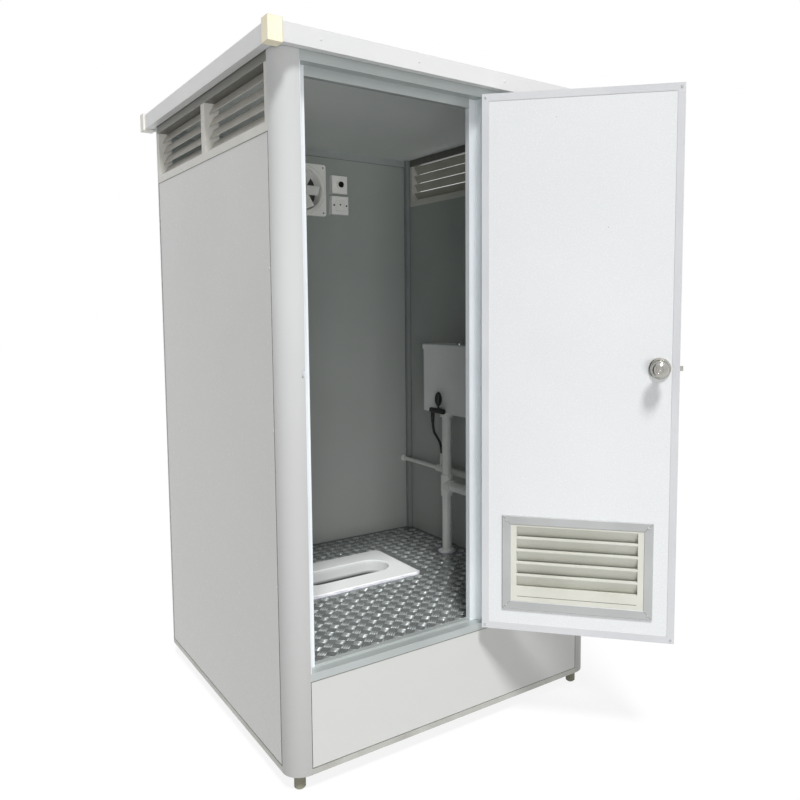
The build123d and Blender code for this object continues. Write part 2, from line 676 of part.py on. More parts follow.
# Cistern lid with a lap over the front and ends, and a hole for the button
with BuildPart() as cistern_lid:
    with BuildSketch(Plane.XY.offset(CISTERN_TOP)):
        with Locations((CISTERN_X - LID_LAP / 2, CISTERN_Y)):
            RectangleRounded(CISTERN_DEPTH + LID_LAP, CISTERN_WIDTH + 2 * LID_LAP, CISTERN_ROUND)
    extrude(amount=LID_HEIGHT)
    fillet(cistern_lid.edges().group_by(Axis.Z)[-1], CISTERN_ROUND / 2)
    rod(
        (CISTERN_X, CISTERN_Y, CISTERN_TOP),
        (CISTERN_X, CISTERN_Y, CISTERN_TOP + LID_HEIGHT),
        BUTTON_RADIUS + BUTTON_CLEARANCE,
        Mode.SUBTRACT,
    )
save(cistern_lid, "cistern_lid")

# Flush button with its lift rod
LID_TOP = CISTERN_TOP + LID_HEIGHT
with BuildPart() as flush_button:
    rod(
        (CISTERN_X, CISTERN_Y, LID_TOP - BUTTON_SKIRT),
        (CISTERN_X, CISTERN_Y, LID_TOP + BUTTON_PROUD),
        BUTTON_RADIUS,
    )
    rod(
        (CISTERN_X, CISTERN_Y, CISTERN_BOTTOM + CISTERN_WALL + 2 * BUTTON_TRAVEL),
        (CISTERN_X, CISTERN_Y, LID_TOP),
        BUTTON_ROD_RADIUS,
    )
save(flush_button, "flush_button")

# Flush pipe above the tee, with its nut under the cistern
TEE_Z = FLOOR_TOP + TEE_LIFT
TEE_SEAT = TEE_HALF - SOCKET_DEPTH
FITTING_RADIUS = PIPE_RADIUS + FITTING_CLEARANCE + FITTING_WALL
PIPE_BORE = PIPE_RADIUS - PIPE_WALL
with BuildPart() as flush_pipe_upper:
    rod((FLUSH_X, FLUSH_Y, TEE_Z + TEE_SEAT), (FLUSH_X, FLUSH_Y, CISTERN_BOTTOM), PIPE_RADIUS)
    rod(
        (FLUSH_X, FLUSH_Y, CISTERN_BOTTOM - OUTLET_NUT),
        (FLUSH_X, FLUSH_Y, CISTERN_BOTTOM),
        OUTLET_NUT_RADIUS,
    )
    rod((FLUSH_X, FLUSH_Y, TEE_Z), (FLUSH_X, FLUSH_Y, CISTERN_BOTTOM), PIPE_BORE, Mode.SUBTRACT)
save(flush_pipe_upper, "flush_pipe_upper")

# Tee with three sockets
with BuildPart() as flush_tee:
    tee_ends = (
        (FLUSH_X, FLUSH_Y, TEE_Z + TEE_HALF),
        (FLUSH_X, FLUSH_Y, TEE_Z - TEE_HALF),
        (FLUSH_X, FLUSH_Y - TEE_HALF, TEE_Z),
    )
    tee_seats = (
        (FLUSH_X, FLUSH_Y, TEE_Z + TEE_SEAT),
        (FLUSH_X, FLUSH_Y, TEE_Z - TEE_SEAT),
        (FLUSH_X, FLUSH_Y - TEE_SEAT, TEE_Z),
    )
    for tee_end in tee_ends:
        rod((FLUSH_X, FLUSH_Y, TEE_Z), tee_end, FITTING_RADIUS)
    for tee_end, tee_seat in zip(tee_ends, tee_seats):
        rod((FLUSH_X, FLUSH_Y, TEE_Z), tee_end, PIPE_BORE, Mode.SUBTRACT)
        rod(tee_seat, tee_end, PIPE_RADIUS + FITTING_CLEARANCE, Mode.SUBTRACT)
save(flush_tee, "flush_tee")

# Flush pipe below the tee: through the floor, then across to the pan
with BuildPart() as flush_pipe_lower:
    with BuildLine() as flush_route:
        FilletPolyline(
            (FLUSH_X, FLUSH_Y, TEE_Z - TEE_SEAT),
            (FLUSH_X, FLUSH_Y, FLUSH_Z),
            (SPUD_END, FLUSH_Y, FLUSH_Z),
            radius=FLUSH_BEND,
        )
    with BuildSketch(Plane.XY.offset(TEE_Z - TEE_SEAT)):
        with Locations((FLUSH_X, FLUSH_Y)):
            Circle(PIPE_RADIUS)
            Circle(PIPE_BORE, mode=Mode.SUBTRACT)
    sweep(path=flush_route.wires()[0])
save(flush_pipe_lower, "flush_pipe_lower")

with BuildPart() as floor_collar:
    with BuildSketch(Plane.XY.offset(FLOOR_TOP)):
        with Locations((FLUSH_X, FLUSH_Y)):
            Circle(COLLAR_RADIUS)
            Circle(PIPE_RADIUS + FITTING_CLEARANCE, mode=Mode.SUBTRACT)
    extrude(amount=COLLAR_HEIGHT)
    chamfer(floor_collar.edges().group_by(Axis.Z)[-1].sort_by(SortBy.RADIUS)[-1], COLLAR_HEIGHT / 2)
save(floor_collar, "floor_collar")

# Branch pipe towards the front, closed by a screwed cap
with BuildPart() as branch_pipe:
    rod((FLUSH_X, FLUSH_Y - TEE_SEAT, TEE_Z), (FLUSH_X, BRANCH_END_Y, TEE_Z), PIPE_RADIUS)
    rod(
        (FLUSH_X, BRANCH_END_Y + BRANCH_CAP, TEE_Z), (FLUSH_X, BRANCH_END_Y, TEE_Z), FITTING_RADIUS
    )
    rod(
        (FLUSH_X, FLUSH_Y - TEE_SEAT, TEE_Z),
        (FLUSH_X, BRANCH_END_Y + FITTING_WALL, TEE_Z),
        PIPE_BORE,
        Mode.SUBTRACT,
    )
save(branch_pipe, "branch_pipe")

# Thin supply pipe through the back wall, with a collar outside
SUPPLY_SEAT_Y = SUPPLY_TEE_Y + SUPPLY_TEE_HALF - SUPPLY_SOCKET
SUPPLY_END_Y = HALF_D + WALL_COLLAR + SUPPLY_TAIL
with BuildPart() as supply_pipe:
    rod((SUPPLY_X, SUPPLY_SEAT_Y, SUPPLY_Z), (SUPPLY_X, SUPPLY_END_Y, SUPPLY_Z), SUPPLY_RADIUS)
    rod(
        (SUPPLY_X, HALF_D, SUPPLY_Z),
        (SUPPLY_X, HALF_D + WALL_COLLAR, SUPPLY_Z),
        SUPPLY_RADIUS + SUPPLY_COLLAR,
    )
    rod(
        (SUPPLY_X, SUPPLY_SEAT_Y, SUPPLY_Z),
        (SUPPLY_X, SUPPLY_END_Y, SUPPLY_Z),
        SUPPLY_RADIUS - PIPE_WALL,
        Mode.SUBTRACT,
    )
save(supply_pipe, "supply_pipe")

# Supply tee with an upright hose tail and the thicker main that runs to the front
HOSE_END_Z = SUPPLY_Z + HOSE_TAIL
with BuildPart() as supply_tee:
    rod(
        (SUPPLY_X, SUPPLY_TEE_Y - SUPPLY_TEE_HALF, SUPPLY_Z),
        (SUPPLY_X, SUPPLY_TEE_Y + SUPPLY_TEE_HALF, SUPPLY_Z),
        SUPPLY_TEE_RADIUS,
    )
    rod((SUPPLY_X, MAIN_END_Y, SUPPLY_Z), (SUPPLY_X, SUPPLY_TEE_Y, SUPPLY_Z), MAIN_RADIUS)
    rod(
        (SUPPLY_X, MAIN_END_Y, SUPPLY_Z),
        (SUPPLY_X, MAIN_END_Y + SUPPLY_TEE_HALF, SUPPLY_Z),
        SUPPLY_TEE_RADIUS,
    )
    rod((SUPPLY_X, SUPPLY_TEE_Y, SUPPLY_Z), (SUPPLY_X, SUPPLY_TEE_Y, HOSE_END_Z), HOSE_TAIL_RADIUS)
    rod(
        (SUPPLY_X, SUPPLY_SEAT_Y, SUPPLY_Z),
        (SUPPLY_X, SUPPLY_TEE_Y + SUPPLY_TEE_HALF, SUPPLY_Z),
        SUPPLY_RADIUS + FITTING_CLEARANCE,
        Mode.SUBTRACT,
    )
save(supply_tee, "supply_tee")

# Inlet valve: a cross body on the front of the cistern, with a tail for the hose
VALVE_TOP = VALVE_Z + VALVE_RADIUS
with BuildPart() as inlet_valve_body:
    rod(
        (VALVE_X, VALVE_Y - VALVE_LENGTH / 2, VALVE_Z),
        (VALVE_X, VALVE_TAIL_Y + VALVE_RADIUS, VALVE_Z),
        VALVE_RADIUS,
    )
    rod((VALVE_X, VALVE_Y, VALVE_Z), (CISTERN_FRONT_X, VALVE_Y, VALVE_Z), VALVE_BOSS_RADIUS)
    rod((VALVE_X, VALVE_TAIL_Y, VALVE_Z), (VALVE_X, VALVE_TAIL_Y, VALVE_Z - VALVE_TAIL), HOSE_TAIL_RADIUS)
    rod((VALVE_X, VALVE_Y, VALVE_Z), (VALVE_X, VALVE_Y, VALVE_TOP), VALVE_BOSS_RADIUS)
    rod(
        (VALVE_X, VALVE_Y, VALVE_TOP - STEM_SEAT),
        (VALVE_X, VALVE_Y, VALVE_TOP),
        HANDLE_STEM_RADIUS + STEM_CLEARANCE,
        Mode.SUBTRACT,
    )
save(inlet_valve_body, "inlet_valve_body")

# Valve handle: a standing oval grip with two flats on a stem
HANDLE_BOTTOM = VALVE_TOP + HANDLE_STEM
with BuildPart() as inlet_valve_handle:
    with BuildSketch(Plane.XZ.offset(-VALVE_Y)):
        with Locations((VALVE_X, HANDLE_BOTTOM + HANDLE_HEIGHT / 2)):
            Ellipse(HANDLE_RADIUS, HANDLE_HEIGHT / 2)
        with Locations((VALVE_X - HANDLE_RADIUS, HANDLE_BOTTOM + HANDLE_HEIGHT / 2)):
            Rectangle(2 * HANDLE_RADIUS, HANDLE_HEIGHT, mode=Mode.SUBTRACT)
    revolve(axis=Axis((VALVE_X, VALVE_Y, 0), (0, 0, 1)))
    for side in (-1, 1):
        flat_x = sorted((VALVE_X + side * HANDLE_THICKNESS / 2, VALVE_X + side * 2 * HANDLE_RADIUS))
        span(
            (flat_x[0], VALVE_Y - HANDLE_RADIUS, HANDLE_BOTTOM),
            (flat_x[1], VALVE_Y + HANDLE_RADIUS, HANDLE_BOTTOM + HANDLE_HEIGHT),
            Mode.SUBTRACT,
        )
    rod(
        (VALVE_X, VALVE_Y, VALVE_TOP - STEM_SEAT),
        (VALVE_X, VALVE_Y, HANDLE_BOTTOM + HANDLE_RADIUS),
        HANDLE_STEM_RADIUS,
    )
save(inlet_valve_handle, "inlet_valve_handle")

# Fill hose: a round tube on straight runs joined by the largest arcs that they allow
hose_start = Vector(VALVE_X, VALVE_TAIL_Y, VALVE_Z - VALVE_TAIL)
hose_end = Vector(SUPPLY_X, SUPPLY_TEE_Y, HOSE_END_Z)
hose_low = hose_start - Vector(0, 0, HOSE_DROP)
hose_high = hose_end + Vector(0, 0, HOSE_RISE)
hose_bow = (hose_low + hose_high) * 0.5 + Vector(*HOSE_BOW)
hose_points = [hose_start, hose_low, hose_bow, hose_high, hose_end]
hose_radii = []
for before, here, after in zip(hose_points, hose_points[1:], hose_points[2:]):
    turn = (here - before).get_angle(after - here)
    shorter = min((here - before).length, (after - here).length)
    hose_radii.append(HOSE_ARC * shorter / tan(radians(turn / 2)))
with BuildPart() as fill_hose:
    with BuildLine() as hose_path:
        FilletPolyline(*hose_points, radius=hose_radii)
    with BuildSketch(Plane(origin=hose_points[0], z_dir=hose_points[1] - hose_points[0])):
        Circle(HOSE_RADIUS)
    sweep(path=hose_path.wires()[0])
save(fill_hose, "fill_hose")
hose_length = hose_path.wires()[0].length
print("fill hose length", round(hose_length, 1), "radii", [round(r, 1) for r in hose_radii])

# Exhaust fan housing: a square flange, a duct through the wall and a spider for the motor
FAN_BORE = FAN_DUCT_RADIUS - FAN_DUCT_WALL
FAN_FACE = Plane(origin=(0, INNER_Y, FAN_Z), x_dir=(1, 0, 0), z_dir=(0, -1, 0))
ARM_FRONT = WALL - FAN_ARM
with BuildPart(FAN_FACE) as fan_housing:
    with BuildSketch(FAN_FACE):
        RectangleRounded(FAN_SIZE, FAN_SIZE, FAN_CORNER)
    extrude(amount=FAN_FLANGE)
    with BuildSketch(FAN_FACE):
        Circle(FAN_DUCT_RADIUS)
    extrude(amount=-WALL)
    with BuildSketch(FAN_FACE):
        Circle(FAN_BORE)
    extrude(amount=FAN_FLANGE, mode=Mode.SUBTRACT)
    with BuildSketch(FAN_FACE):
        Circle(FAN_BORE)
    extrude(amount=-WALL, mode=Mode.SUBTRACT)
    with Locations((0, 0, -WALL + FAN_ARM / 2)):
        Cylinder(MOTOR_RADIUS, FAN_ARM)
    with PolarLocations(FAN_BORE / 2, FAN_ARMS):
        with Locations((0, 0, -WALL + FAN_ARM / 2)):
            Box(FAN_BORE + FAN_DUCT_WALL, FAN_ARM_WIDTH, FAN_ARM)
save(fan_housing, "fan_housing")

# Fan motor with its shaft
MOTOR_FRONT = -ARM_FRONT + MOTOR_LENGTH
HUB_BACK = MOTOR_FRONT + IMPELLER_GAP
with BuildPart(FAN_FACE) as fan_motor:
    with Locations((0, 0, -ARM_FRONT + MOTOR_LENGTH / 2)):
        Cylinder(MOTOR_RADIUS, MOTOR_LENGTH)
    with Locations((0, 0, MOTOR_FRONT + (IMPELLER_GAP + IMPELLER_HUB / 2) / 2)):
        Cylinder(SHAFT_RADIUS, IMPELLER_GAP + IMPELLER_HUB / 2)
save(fan_motor, "fan_motor")

# Fan impeller: a hub bored for the shaft and pitched blades
BLADE_REACH = IMPELLER_RADIUS - IMPELLER_HUB_RADIUS + BLADE_ROOT
SHAFT_BORE = IMPELLER_HUB / 2 + SHAFT_END
with BuildPart(FAN_FACE) as fan_impeller:
    with Locations((0, 0, HUB_BACK + IMPELLER_HUB / 2)):
        Cylinder(IMPELLER_HUB_RADIUS, IMPELLER_HUB)
    with PolarLocations(IMPELLER_RADIUS - BLADE_REACH / 2, IMPELLER_BLADES):
        with Locations((0, 0, HUB_BACK + IMPELLER_HUB / 2)):
            Box(BLADE_REACH, IMPELLER_CHORD, BLADE_THICKNESS, rotation=(IMPELLER_PITCH, 0, 0))
    with Locations((0, 0, HUB_BACK + SHAFT_BORE / 2)):
        Cylinder(SHAFT_RADIUS + SHAFT_CLEARANCE, SHAFT_BORE, mode=Mode.SUBTRACT)
save(fan_impeller, "fan_impeller")

# Lamp holder: a wall box with a round screw socket
LAMP_Z = WALL_TOP - LAMP_DROP
LAMP_FACE_Y = INNER_Y - LAMP_DEPTH
with BuildPart() as lamp_holder:
    span(
        (PLATE_X - LAMP_WIDTH / 2, LAMP_FACE_Y, LAMP_Z - LAMP_HEIGHT / 2),
        (PLATE_X + LAMP_WIDTH / 2, INNER_Y, LAMP_Z + LAMP_HEIGHT / 2),
    )
    fillet(lamp_holder.edges().group_by(Axis.Y)[0], BOX_ROUND)
    rod((PLATE_X, LAMP_FACE_Y, LAMP_Z), (PLATE_X, LAMP_FACE_Y - LAMP_RING, LAMP_Z), LAMP_RING_RADIUS)
    rod(
        (PLATE_X, LAMP_FACE_Y - LAMP_RING, LAMP_Z),
        (PLATE_X, LAMP_FACE_Y - LAMP_RING + LAMP_BORE, LAMP_Z),
        LAMP_BORE_RADIUS,
        Mode.SUBTRACT,
    )
save(lamp_holder, "lamp_holder")

# Switch box with a pocket for its rocker, which tips on two trunnions
SWITCH_Z = LAMP_Z - LAMP_HEIGHT / 2 - PLATE_GAP - SWITCH_SIZE / 2
SWITCH_FACE_Y = INNER_Y - SWITCH_DEPTH
POCKET_HALF = ROCKER_SIZE / 2 + ROCKER_ROOM
ROCKER_Y = SWITCH_FACE_Y - ROCKER_PROUD + ROCKER_THICKNESS / 2
TRUNNION_END = POCKET_HALF + TRUNNION
TRUNNION_SEAT = TRUNNION_END + ROCKER_ROOM
with BuildPart() as switch_box:
    span(
        (PLATE_X - SWITCH_SIZE / 2, SWITCH_FACE_Y, SWITCH_Z - SWITCH_SIZE / 2),
        (PLATE_X + SWITCH_SIZE / 2, INNER_Y, SWITCH_Z + SWITCH_SIZE / 2),
    )
    fillet(switch_box.edges().group_by(Axis.Y)[0], BOX_ROUND)
    span(
        (PLATE_X - POCKET_HALF, SWITCH_FACE_Y, SWITCH_Z - POCKET_HALF),
        (PLATE_X + POCKET_HALF, SWITCH_FACE_Y + ROCKER_POCKET, SWITCH_Z + POCKET_HALF),
        Mode.SUBTRACT,
    )
    rod(
        (PLATE_X - TRUNNION_SEAT, ROCKER_Y, SWITCH_Z),
        (PLATE_X + TRUNNION_SEAT, ROCKER_Y, SWITCH_Z),
        TRUNNION_RADIUS + TRUNNION_CLEARANCE,
        Mode.SUBTRACT,
    )
save(switch_box, "switch_box")

with BuildPart() as switch_rocker:
    span(
        (PLATE_X - ROCKER_SIZE / 2, ROCKER_Y - ROCKER_THICKNESS / 2, SWITCH_Z - ROCKER_SIZE / 2),
        (PLATE_X + ROCKER_SIZE / 2, ROCKER_Y + ROCKER_THICKNESS / 2, SWITCH_Z + ROCKER_SIZE / 2),
    )
    rod(
        (PLATE_X - TRUNNION_END, ROCKER_Y, SWITCH_Z),
        (PLATE_X + TRUNNION_END, ROCKER_Y, SWITCH_Z),
        TRUNNION_RADIUS,
    )
save(switch_rocker, "switch_rocker")

# Hinge leaves on the frame: two outer knuckles and a plate on the right jamb
THIRD = HINGE_LENGTH / 3
KNUCKLE_BORE = PIN_RADIUS + PIN_CLEARANCE
PLATE_START = KNUCKLE_RADIUS + 1.5
with BuildPart() as hinge_frame_leaves:
    for level in HINGE_LEVELS:
        low = level - HINGE_LENGTH / 2
        high = level + HINGE_LENGTH / 2
        span(
            (HINGE_X + PLATE_START, FRONT - HINGE_PLATE, low),
            (HINGE_X + HINGE_PLATE_WIDTH, FRONT, high),
        )
        for bottom, top in ((low, low + THIRD), (high - THIRD, high)):
            span((HINGE_X, FRONT - HINGE_PLATE, bottom), (HINGE_X + PLATE_START, FRONT, top))
            rod((HINGE_X, HINGE_Y, bottom), (HINGE_X, HINGE_Y, top), KNUCKLE_RADIUS)
    for level in HINGE_LEVELS:
        low = level - HINGE_LENGTH / 2
        high = level + HINGE_LENGTH / 2
        rod((HINGE_X, HINGE_Y, low), (HINGE_X, HINGE_Y, high), KNUCKLE_BORE, Mode.SUBTRACT)
save(hinge_frame_leaves, "hinge_frame_leaves")

with BuildPart() as hinge_pins:
    for level in HINGE_LEVELS:
        low = level - HINGE_LENGTH / 2
        high = level + HINGE_LENGTH / 2
        rod((HINGE_X, HINGE_Y, low), (HINGE_X, HINGE_Y, high + PIN_HEAD), PIN_RADIUS)
        rod((HINGE_X, HINGE_Y, high), (HINGE_X, HINGE_Y, high + PIN_HEAD), PIN_HEAD_RADIUS)
save(hinge_pins, "hinge_pins")

# Hinge leaves on the door: the middle knuckle and a plate on the outer face
with BuildPart(DOOR) as hinge_door_leaves:
    for level in HINGE_LEVELS:
        middle_low = level - THIRD / 2 + KNUCKLE_GAP
        middle_high = level + THIRD / 2 - KNUCKLE_GAP
        span(
            (PLATE_START, LEAF_OUT, level - HINGE_LENGTH / 2),
            (HINGE_PLATE_WIDTH, LEAF_OUT + HINGE_PLATE, level + HINGE_LENGTH / 2),
        )
        span((0, LEAF_OUT, middle_low), (PLATE_START, LEAF_OUT + HINGE_PLATE, middle_high))
        with Locations((0, 0, level)):
            Cylinder(KNUCKLE_RADIUS, middle_high - middle_low)
    for level in HINGE_LEVELS:
        with Locations((0, 0, level)):
            Cylinder(KNUCKLE_BORE, HINGE_LENGTH, mode=Mode.SUBTRACT)
save(hinge_door_leaves, "hinge_door_leaves")

# Where the door's rivets sit: two in each corner of the edging and a ring on the vent flange
VENT_LEFT = EDGE_START + (DOOR_WIDTH - VENT_WIDTH) / 2
VENT_RIGHT = VENT_LEFT + VENT_WIDTH
VENT_BOTTOM = LEAF_BOTTOM + VENT_LIFT
VENT_TOP = VENT_BOTTOM + VENT_HEIGHT
EDGE_RIVETS = [
    (rivet_x, rivet_z)
    for rivet_x in (EDGE_START + EDGE_WIDTH / 2, EDGE_END - EDGE_WIDTH / 2)
    for rivet_z in (LEAF_BOTTOM + EDGE_WIDTH / 2, LEAF_TOP - EDGE_WIDTH / 2)
]
VENT_RIVETS = [
    (rivet_x, rivet_z)
    for rivet_x in (VENT_LEFT + VENT_BORDER / 2, VENT_RIGHT - VENT_BORDER / 2)
    for rivet_z in (VENT_BOTTOM + VENT_BORDER / 2, VENT_TOP - VENT_BORDER / 2)
]
FLANGE_IN = SKIN_IN - VENT_PROUD
RIVET_SEATS = [(LEAF_IN, spot) for spot in EDGE_RIVETS] + [(FLANGE_IN, spot) for spot in VENT_RIVETS]
ALONG_Y = (90, 0, 0)


def rivet_holes():
    """Cut the rivets' holes from the part of the door that is being built."""
    for seat, (rivet_x, rivet_z) in RIVET_SEATS:
        with Locations((rivet_x, seat + RIVET_DEPTH / 2, rivet_z)):
            Cylinder(RIVET_RADIUS + RIVET_CLEARANCE, RIVET_DEPTH, rotation=ALONG_Y, mode=Mode.SUBTRACT)


with BuildPart(DOOR) as door_rivets:
    for seat, (rivet_x, rivet_z) in RIVET_SEATS:
        with Locations((rivet_x, seat + RIVET_DEPTH / 2, rivet_z)):
            Cylinder(RIVET_RADIUS, RIVET_DEPTH, rotation=ALONG_Y)
        with Locations((rivet_x, seat - RIVET_HEAD / 2, rivet_z)):
            Cylinder(RIVET_HEAD_RADIUS, RIVET_HEAD, rotation=ALONG_Y)
save(door_rivets, "door_rivets")

# Door leaf: the sandwich panel inside the edging, cut for the vent and the lock
THROAT_LEFT = VENT_LEFT + VENT_BORDER + VENT_RAIL
THROAT_RIGHT = VENT_RIGHT - VENT_BORDER - VENT_RAIL
THROAT_BOTTOM = VENT_BOTTOM + VENT_BORDER + VENT_SILL
THROAT_TOP = VENT_TOP - VENT_BORDER - VENT_HEADER
LEAF_EDGE_RIGHT = EDGE_END - EDGE_WIDTH
with BuildPart(DOOR) as door_leaf:
    span(
        (EDGE_START + EDGE_WIDTH, SKIN_IN, LEAF_BOTTOM + EDGE_WIDTH),
        (LEAF_EDGE_RIGHT, SKIN_OUT, LEAF_TOP - EDGE_WIDTH),
    )
    span(
        (THROAT_LEFT - VENT_THROAT_WALL, SKIN_IN, THROAT_BOTTOM - VENT_THROAT_WALL),
        (THROAT_RIGHT + VENT_THROAT_WALL, SKIN_OUT, THROAT_TOP + VENT_THROAT_WALL),
        Mode.SUBTRACT,
    )
    with Locations((KNOB_X, LEAF_MIDDLE, KNOB_Z)):
        Cylinder(LOCK_BORE_RADIUS, DOOR_THICKNESS, rotation=ALONG_Y, mode=Mode.SUBTRACT)
    with Locations(((KNOB_X + LEAF_EDGE_RIGHT) / 2, LEAF_MIDDLE, KNOB_Z)):
        Cylinder(LATCH_BORE_RADIUS, LEAF_EDGE_RIGHT - KNOB_X, rotation=(0, 90, 0), mode=Mode.SUBTRACT)
    rivet_holes()
save(door_leaf, "door_leaf")

# Door edging: a metal frame round the leaf, slotted for the latch
LATCH_ROOM_Y = LATCH_WIDTH / 2 + LATCH_CLEARANCE
LATCH_ROOM_Z = LATCH_HEIGHT / 2 + LATCH_CLEARANCE
with BuildPart(DOOR) as door_edging:
    span((EDGE_START, LEAF_IN, LEAF_BOTTOM), (EDGE_END, LEAF_OUT, LEAF_TOP))
    span(
        (EDGE_START + EDGE_WIDTH, LEAF_IN, LEAF_BOTTOM + EDGE_WIDTH),
        (LEAF_EDGE_RIGHT, LEAF_OUT, LEAF_TOP - EDGE_WIDTH),
        Mode.SUBTRACT,
    )
    span(
        (LEAF_EDGE_RIGHT, LEAF_MIDDLE - LATCH_ROOM_Y, KNOB_Z - LATCH_ROOM_Z),
        (EDGE_END, LEAF_MIDDLE + LATCH_ROOM_Y, KNOB_Z + LATCH_ROOM_Z),
        Mode.SUBTRACT,
    )
    span(
        (EDGE_END - LATCH_PLATE, LEAF_MIDDLE - LATCH_PLATE_WIDTH / 2, KNOB_Z - LATCH_PLATE_HEIGHT / 2),
        (EDGE_END, LEAF_MIDDLE + LATCH_PLATE_WIDTH / 2, KNOB_Z + LATCH_PLATE_HEIGHT / 2),
        Mode.SUBTRACT,
    )
    rivet_holes()
save(door_edging, "door_edging")

# Door vent: a metal border on the inner face, and a moulded louvre with a throat through the leaf
with BuildPart(DOOR) as door_vent_frame:
    span((VENT_LEFT, FLANGE_IN, VENT_BOTTOM), (VENT_RIGHT, SKIN_IN, VENT_TOP))
    span(
        (VENT_LEFT + VENT_BORDER, FLANGE_IN, VENT_BOTTOM + VENT_BORDER),
        (VENT_RIGHT - VENT_BORDER, SKIN_IN, VENT_TOP - VENT_BORDER),
        Mode.SUBTRACT,
    )
    chamfer(door_vent_frame.faces().sort_by(Axis(DOOR.origin, DOOR.y_dir))[0].edges(), VENT_CHAMFER)
    rivet_holes()
save(door_vent_frame, "door_vent_frame")

LOUVRE_IN = SKIN_IN - VENT_RAIL_PROUD
VENT_PITCH = (THROAT_TOP - THROAT_BOTTOM) / VENT_ROWS
VENT_DROP = VENT_PITCH - VENT_SLIT + VENT_BLADE_ROOT
VENT_REACH = VENT_DROP / tan(radians(VENT_BLADE_ANGLE))
VENT_BLADE_Y = LOUVRE_IN + BLADE_THICKNESS + VENT_REACH / 2
with BuildPart(DOOR) as door_vent_louvre:
    span(
        (VENT_LEFT + VENT_BORDER, LOUVRE_IN, VENT_BOTTOM + VENT_BORDER),
        (VENT_RIGHT - VENT_BORDER, SKIN_IN, VENT_TOP - VENT_BORDER),
    )
    span(
        (THROAT_LEFT - VENT_THROAT_WALL, SKIN_IN, THROAT_BOTTOM - VENT_THROAT_WALL),
        (THROAT_RIGHT + VENT_THROAT_WALL, SKIN_OUT, THROAT_TOP + VENT_THROAT_WALL),
    )
    span(
        (THROAT_LEFT, LOUVRE_IN, THROAT_BOTTOM), (THROAT_RIGHT, SKIN_OUT, THROAT_TOP), Mode.SUBTRACT
    )
    for row in range(VENT_ROWS):
        lip_z = THROAT_BOTTOM + row * VENT_PITCH
        blade_z = lip_z + VENT_PITCH + VENT_BLADE_ROOT - VENT_DROP / 2
        with Locations(((THROAT_LEFT + THROAT_RIGHT) / 2, VENT_BLADE_Y, blade_z)):
            Box(
                THROAT_RIGHT - THROAT_LEFT,
                hypot(VENT_REACH, VENT_DROP),
                BLADE_THICKNESS,
                rotation=(-VENT_BLADE_ANGLE, 0, 0),
            )
        span(
            (THROAT_LEFT, LOUVRE_IN, lip_z), (THROAT_RIGHT, LOUVRE_IN + VENT_LIP_DEPTH, lip_z + VENT_LIP)
        )
save(door_vent_louvre, "door_vent_louvre")

# Knob roses on both faces of the leaf
KNOB_IN = Plane(
    origin=DOOR.from_local_coords(Vector(KNOB_X, SKIN_IN, KNOB_Z)), x_dir=DOOR.x_dir, z_dir=-DOOR.y_dir
)
KNOB_OUT = Plane(
    origin=DOOR.from_local_coords(Vector(KNOB_X, SKIN_OUT, KNOB_Z)), x_dir=DOOR.x_dir, z_dir=DOOR.y_dir
)
with BuildPart() as knob_roses:
    for face in (KNOB_IN, KNOB_OUT):
        with BuildSketch(face):
            Circle(ROSE_RADIUS)
        extrude(amount=ROSE_RIM)
        with BuildSketch(face.offset(ROSE_RIM)):
            Circle(ROSE_RADIUS)
        extrude(amount=ROSE_THICKNESS - ROSE_RIM, taper=45)
        with BuildSketch(face):
            Circle(KNOB_NECK_RADIUS + KNOB_CLEARANCE)
        extrude(amount=ROSE_THICKNESS, mode=Mode.SUBTRACT)
save(knob_roses, "knob_roses")


def knob(face):
    """Add a turned knob that stands on a face of the door to the part that is being built."""
    side = Plane(origin=face.origin, x_dir=face.x_dir, z_dir=face.x_dir.cross(face.z_dir))
    grip = ROSE_THICKNESS + KNOB_NECK
    with BuildSketch(side) as section:
        with BuildLine():
            Polyline(
                (0, 0), (KNOB_NECK_RADIUS, 0), (KNOB_NECK_RADIUS, grip), (KNOB_RADIUS, grip + KNOB_LENGTH / 3)
            )
            ThreePointArc(
                (KNOB_RADIUS, grip + KNOB_LENGTH / 3),
                ((KNOB_RADIUS + KNOB_FACE_RADIUS) / 2 + KNOB_LENGTH / 9, grip + KNOB_LENGTH * 0.75),
                (KNOB_FACE_RADIUS, grip + KNOB_LENGTH),
            )
            Polyline((KNOB_FACE_RADIUS, grip + KNOB_LENGTH), (0, grip + KNOB_LENGTH), (0, 0))
        make_face()
    revolve(section.sketch, axis=Axis(face.origin, face.z_dir))


with BuildPart() as knob_inside:
    knob(KNOB_IN)
save(knob_inside, "knob_inside")

# Outer knob with the spindle that joins both
with BuildPart() as knob_outside:
    knob(KNOB_OUT)
    with BuildSketch(KNOB_OUT):
        Circle(SPINDLE_RADIUS)
    extrude(amount=SKIN_IN - SKIN_OUT)
save(knob_outside, "knob_outside")

# Latch plate in the free edge and the bolt that slides through it
with BuildPart(DOOR) as latch_plate:
    span(
        (EDGE_END - LATCH_PLATE, LEAF_MIDDLE - LATCH_PLATE_WIDTH / 2, KNOB_Z - LATCH_PLATE_HEIGHT / 2),
        (EDGE_END, LEAF_MIDDLE + LATCH_PLATE_WIDTH / 2, KNOB_Z + LATCH_PLATE_HEIGHT / 2),
    )
    span(
        (EDGE_END - LATCH_PLATE, LEAF_MIDDLE - LATCH_ROOM_Y, KNOB_Z - LATCH_ROOM_Z),
        (EDGE_END, LEAF_MIDDLE + LATCH_ROOM_Y, KNOB_Z + LATCH_ROOM_Z),
        Mode.SUBTRACT,
    )
save(latch_plate, "latch_plate")

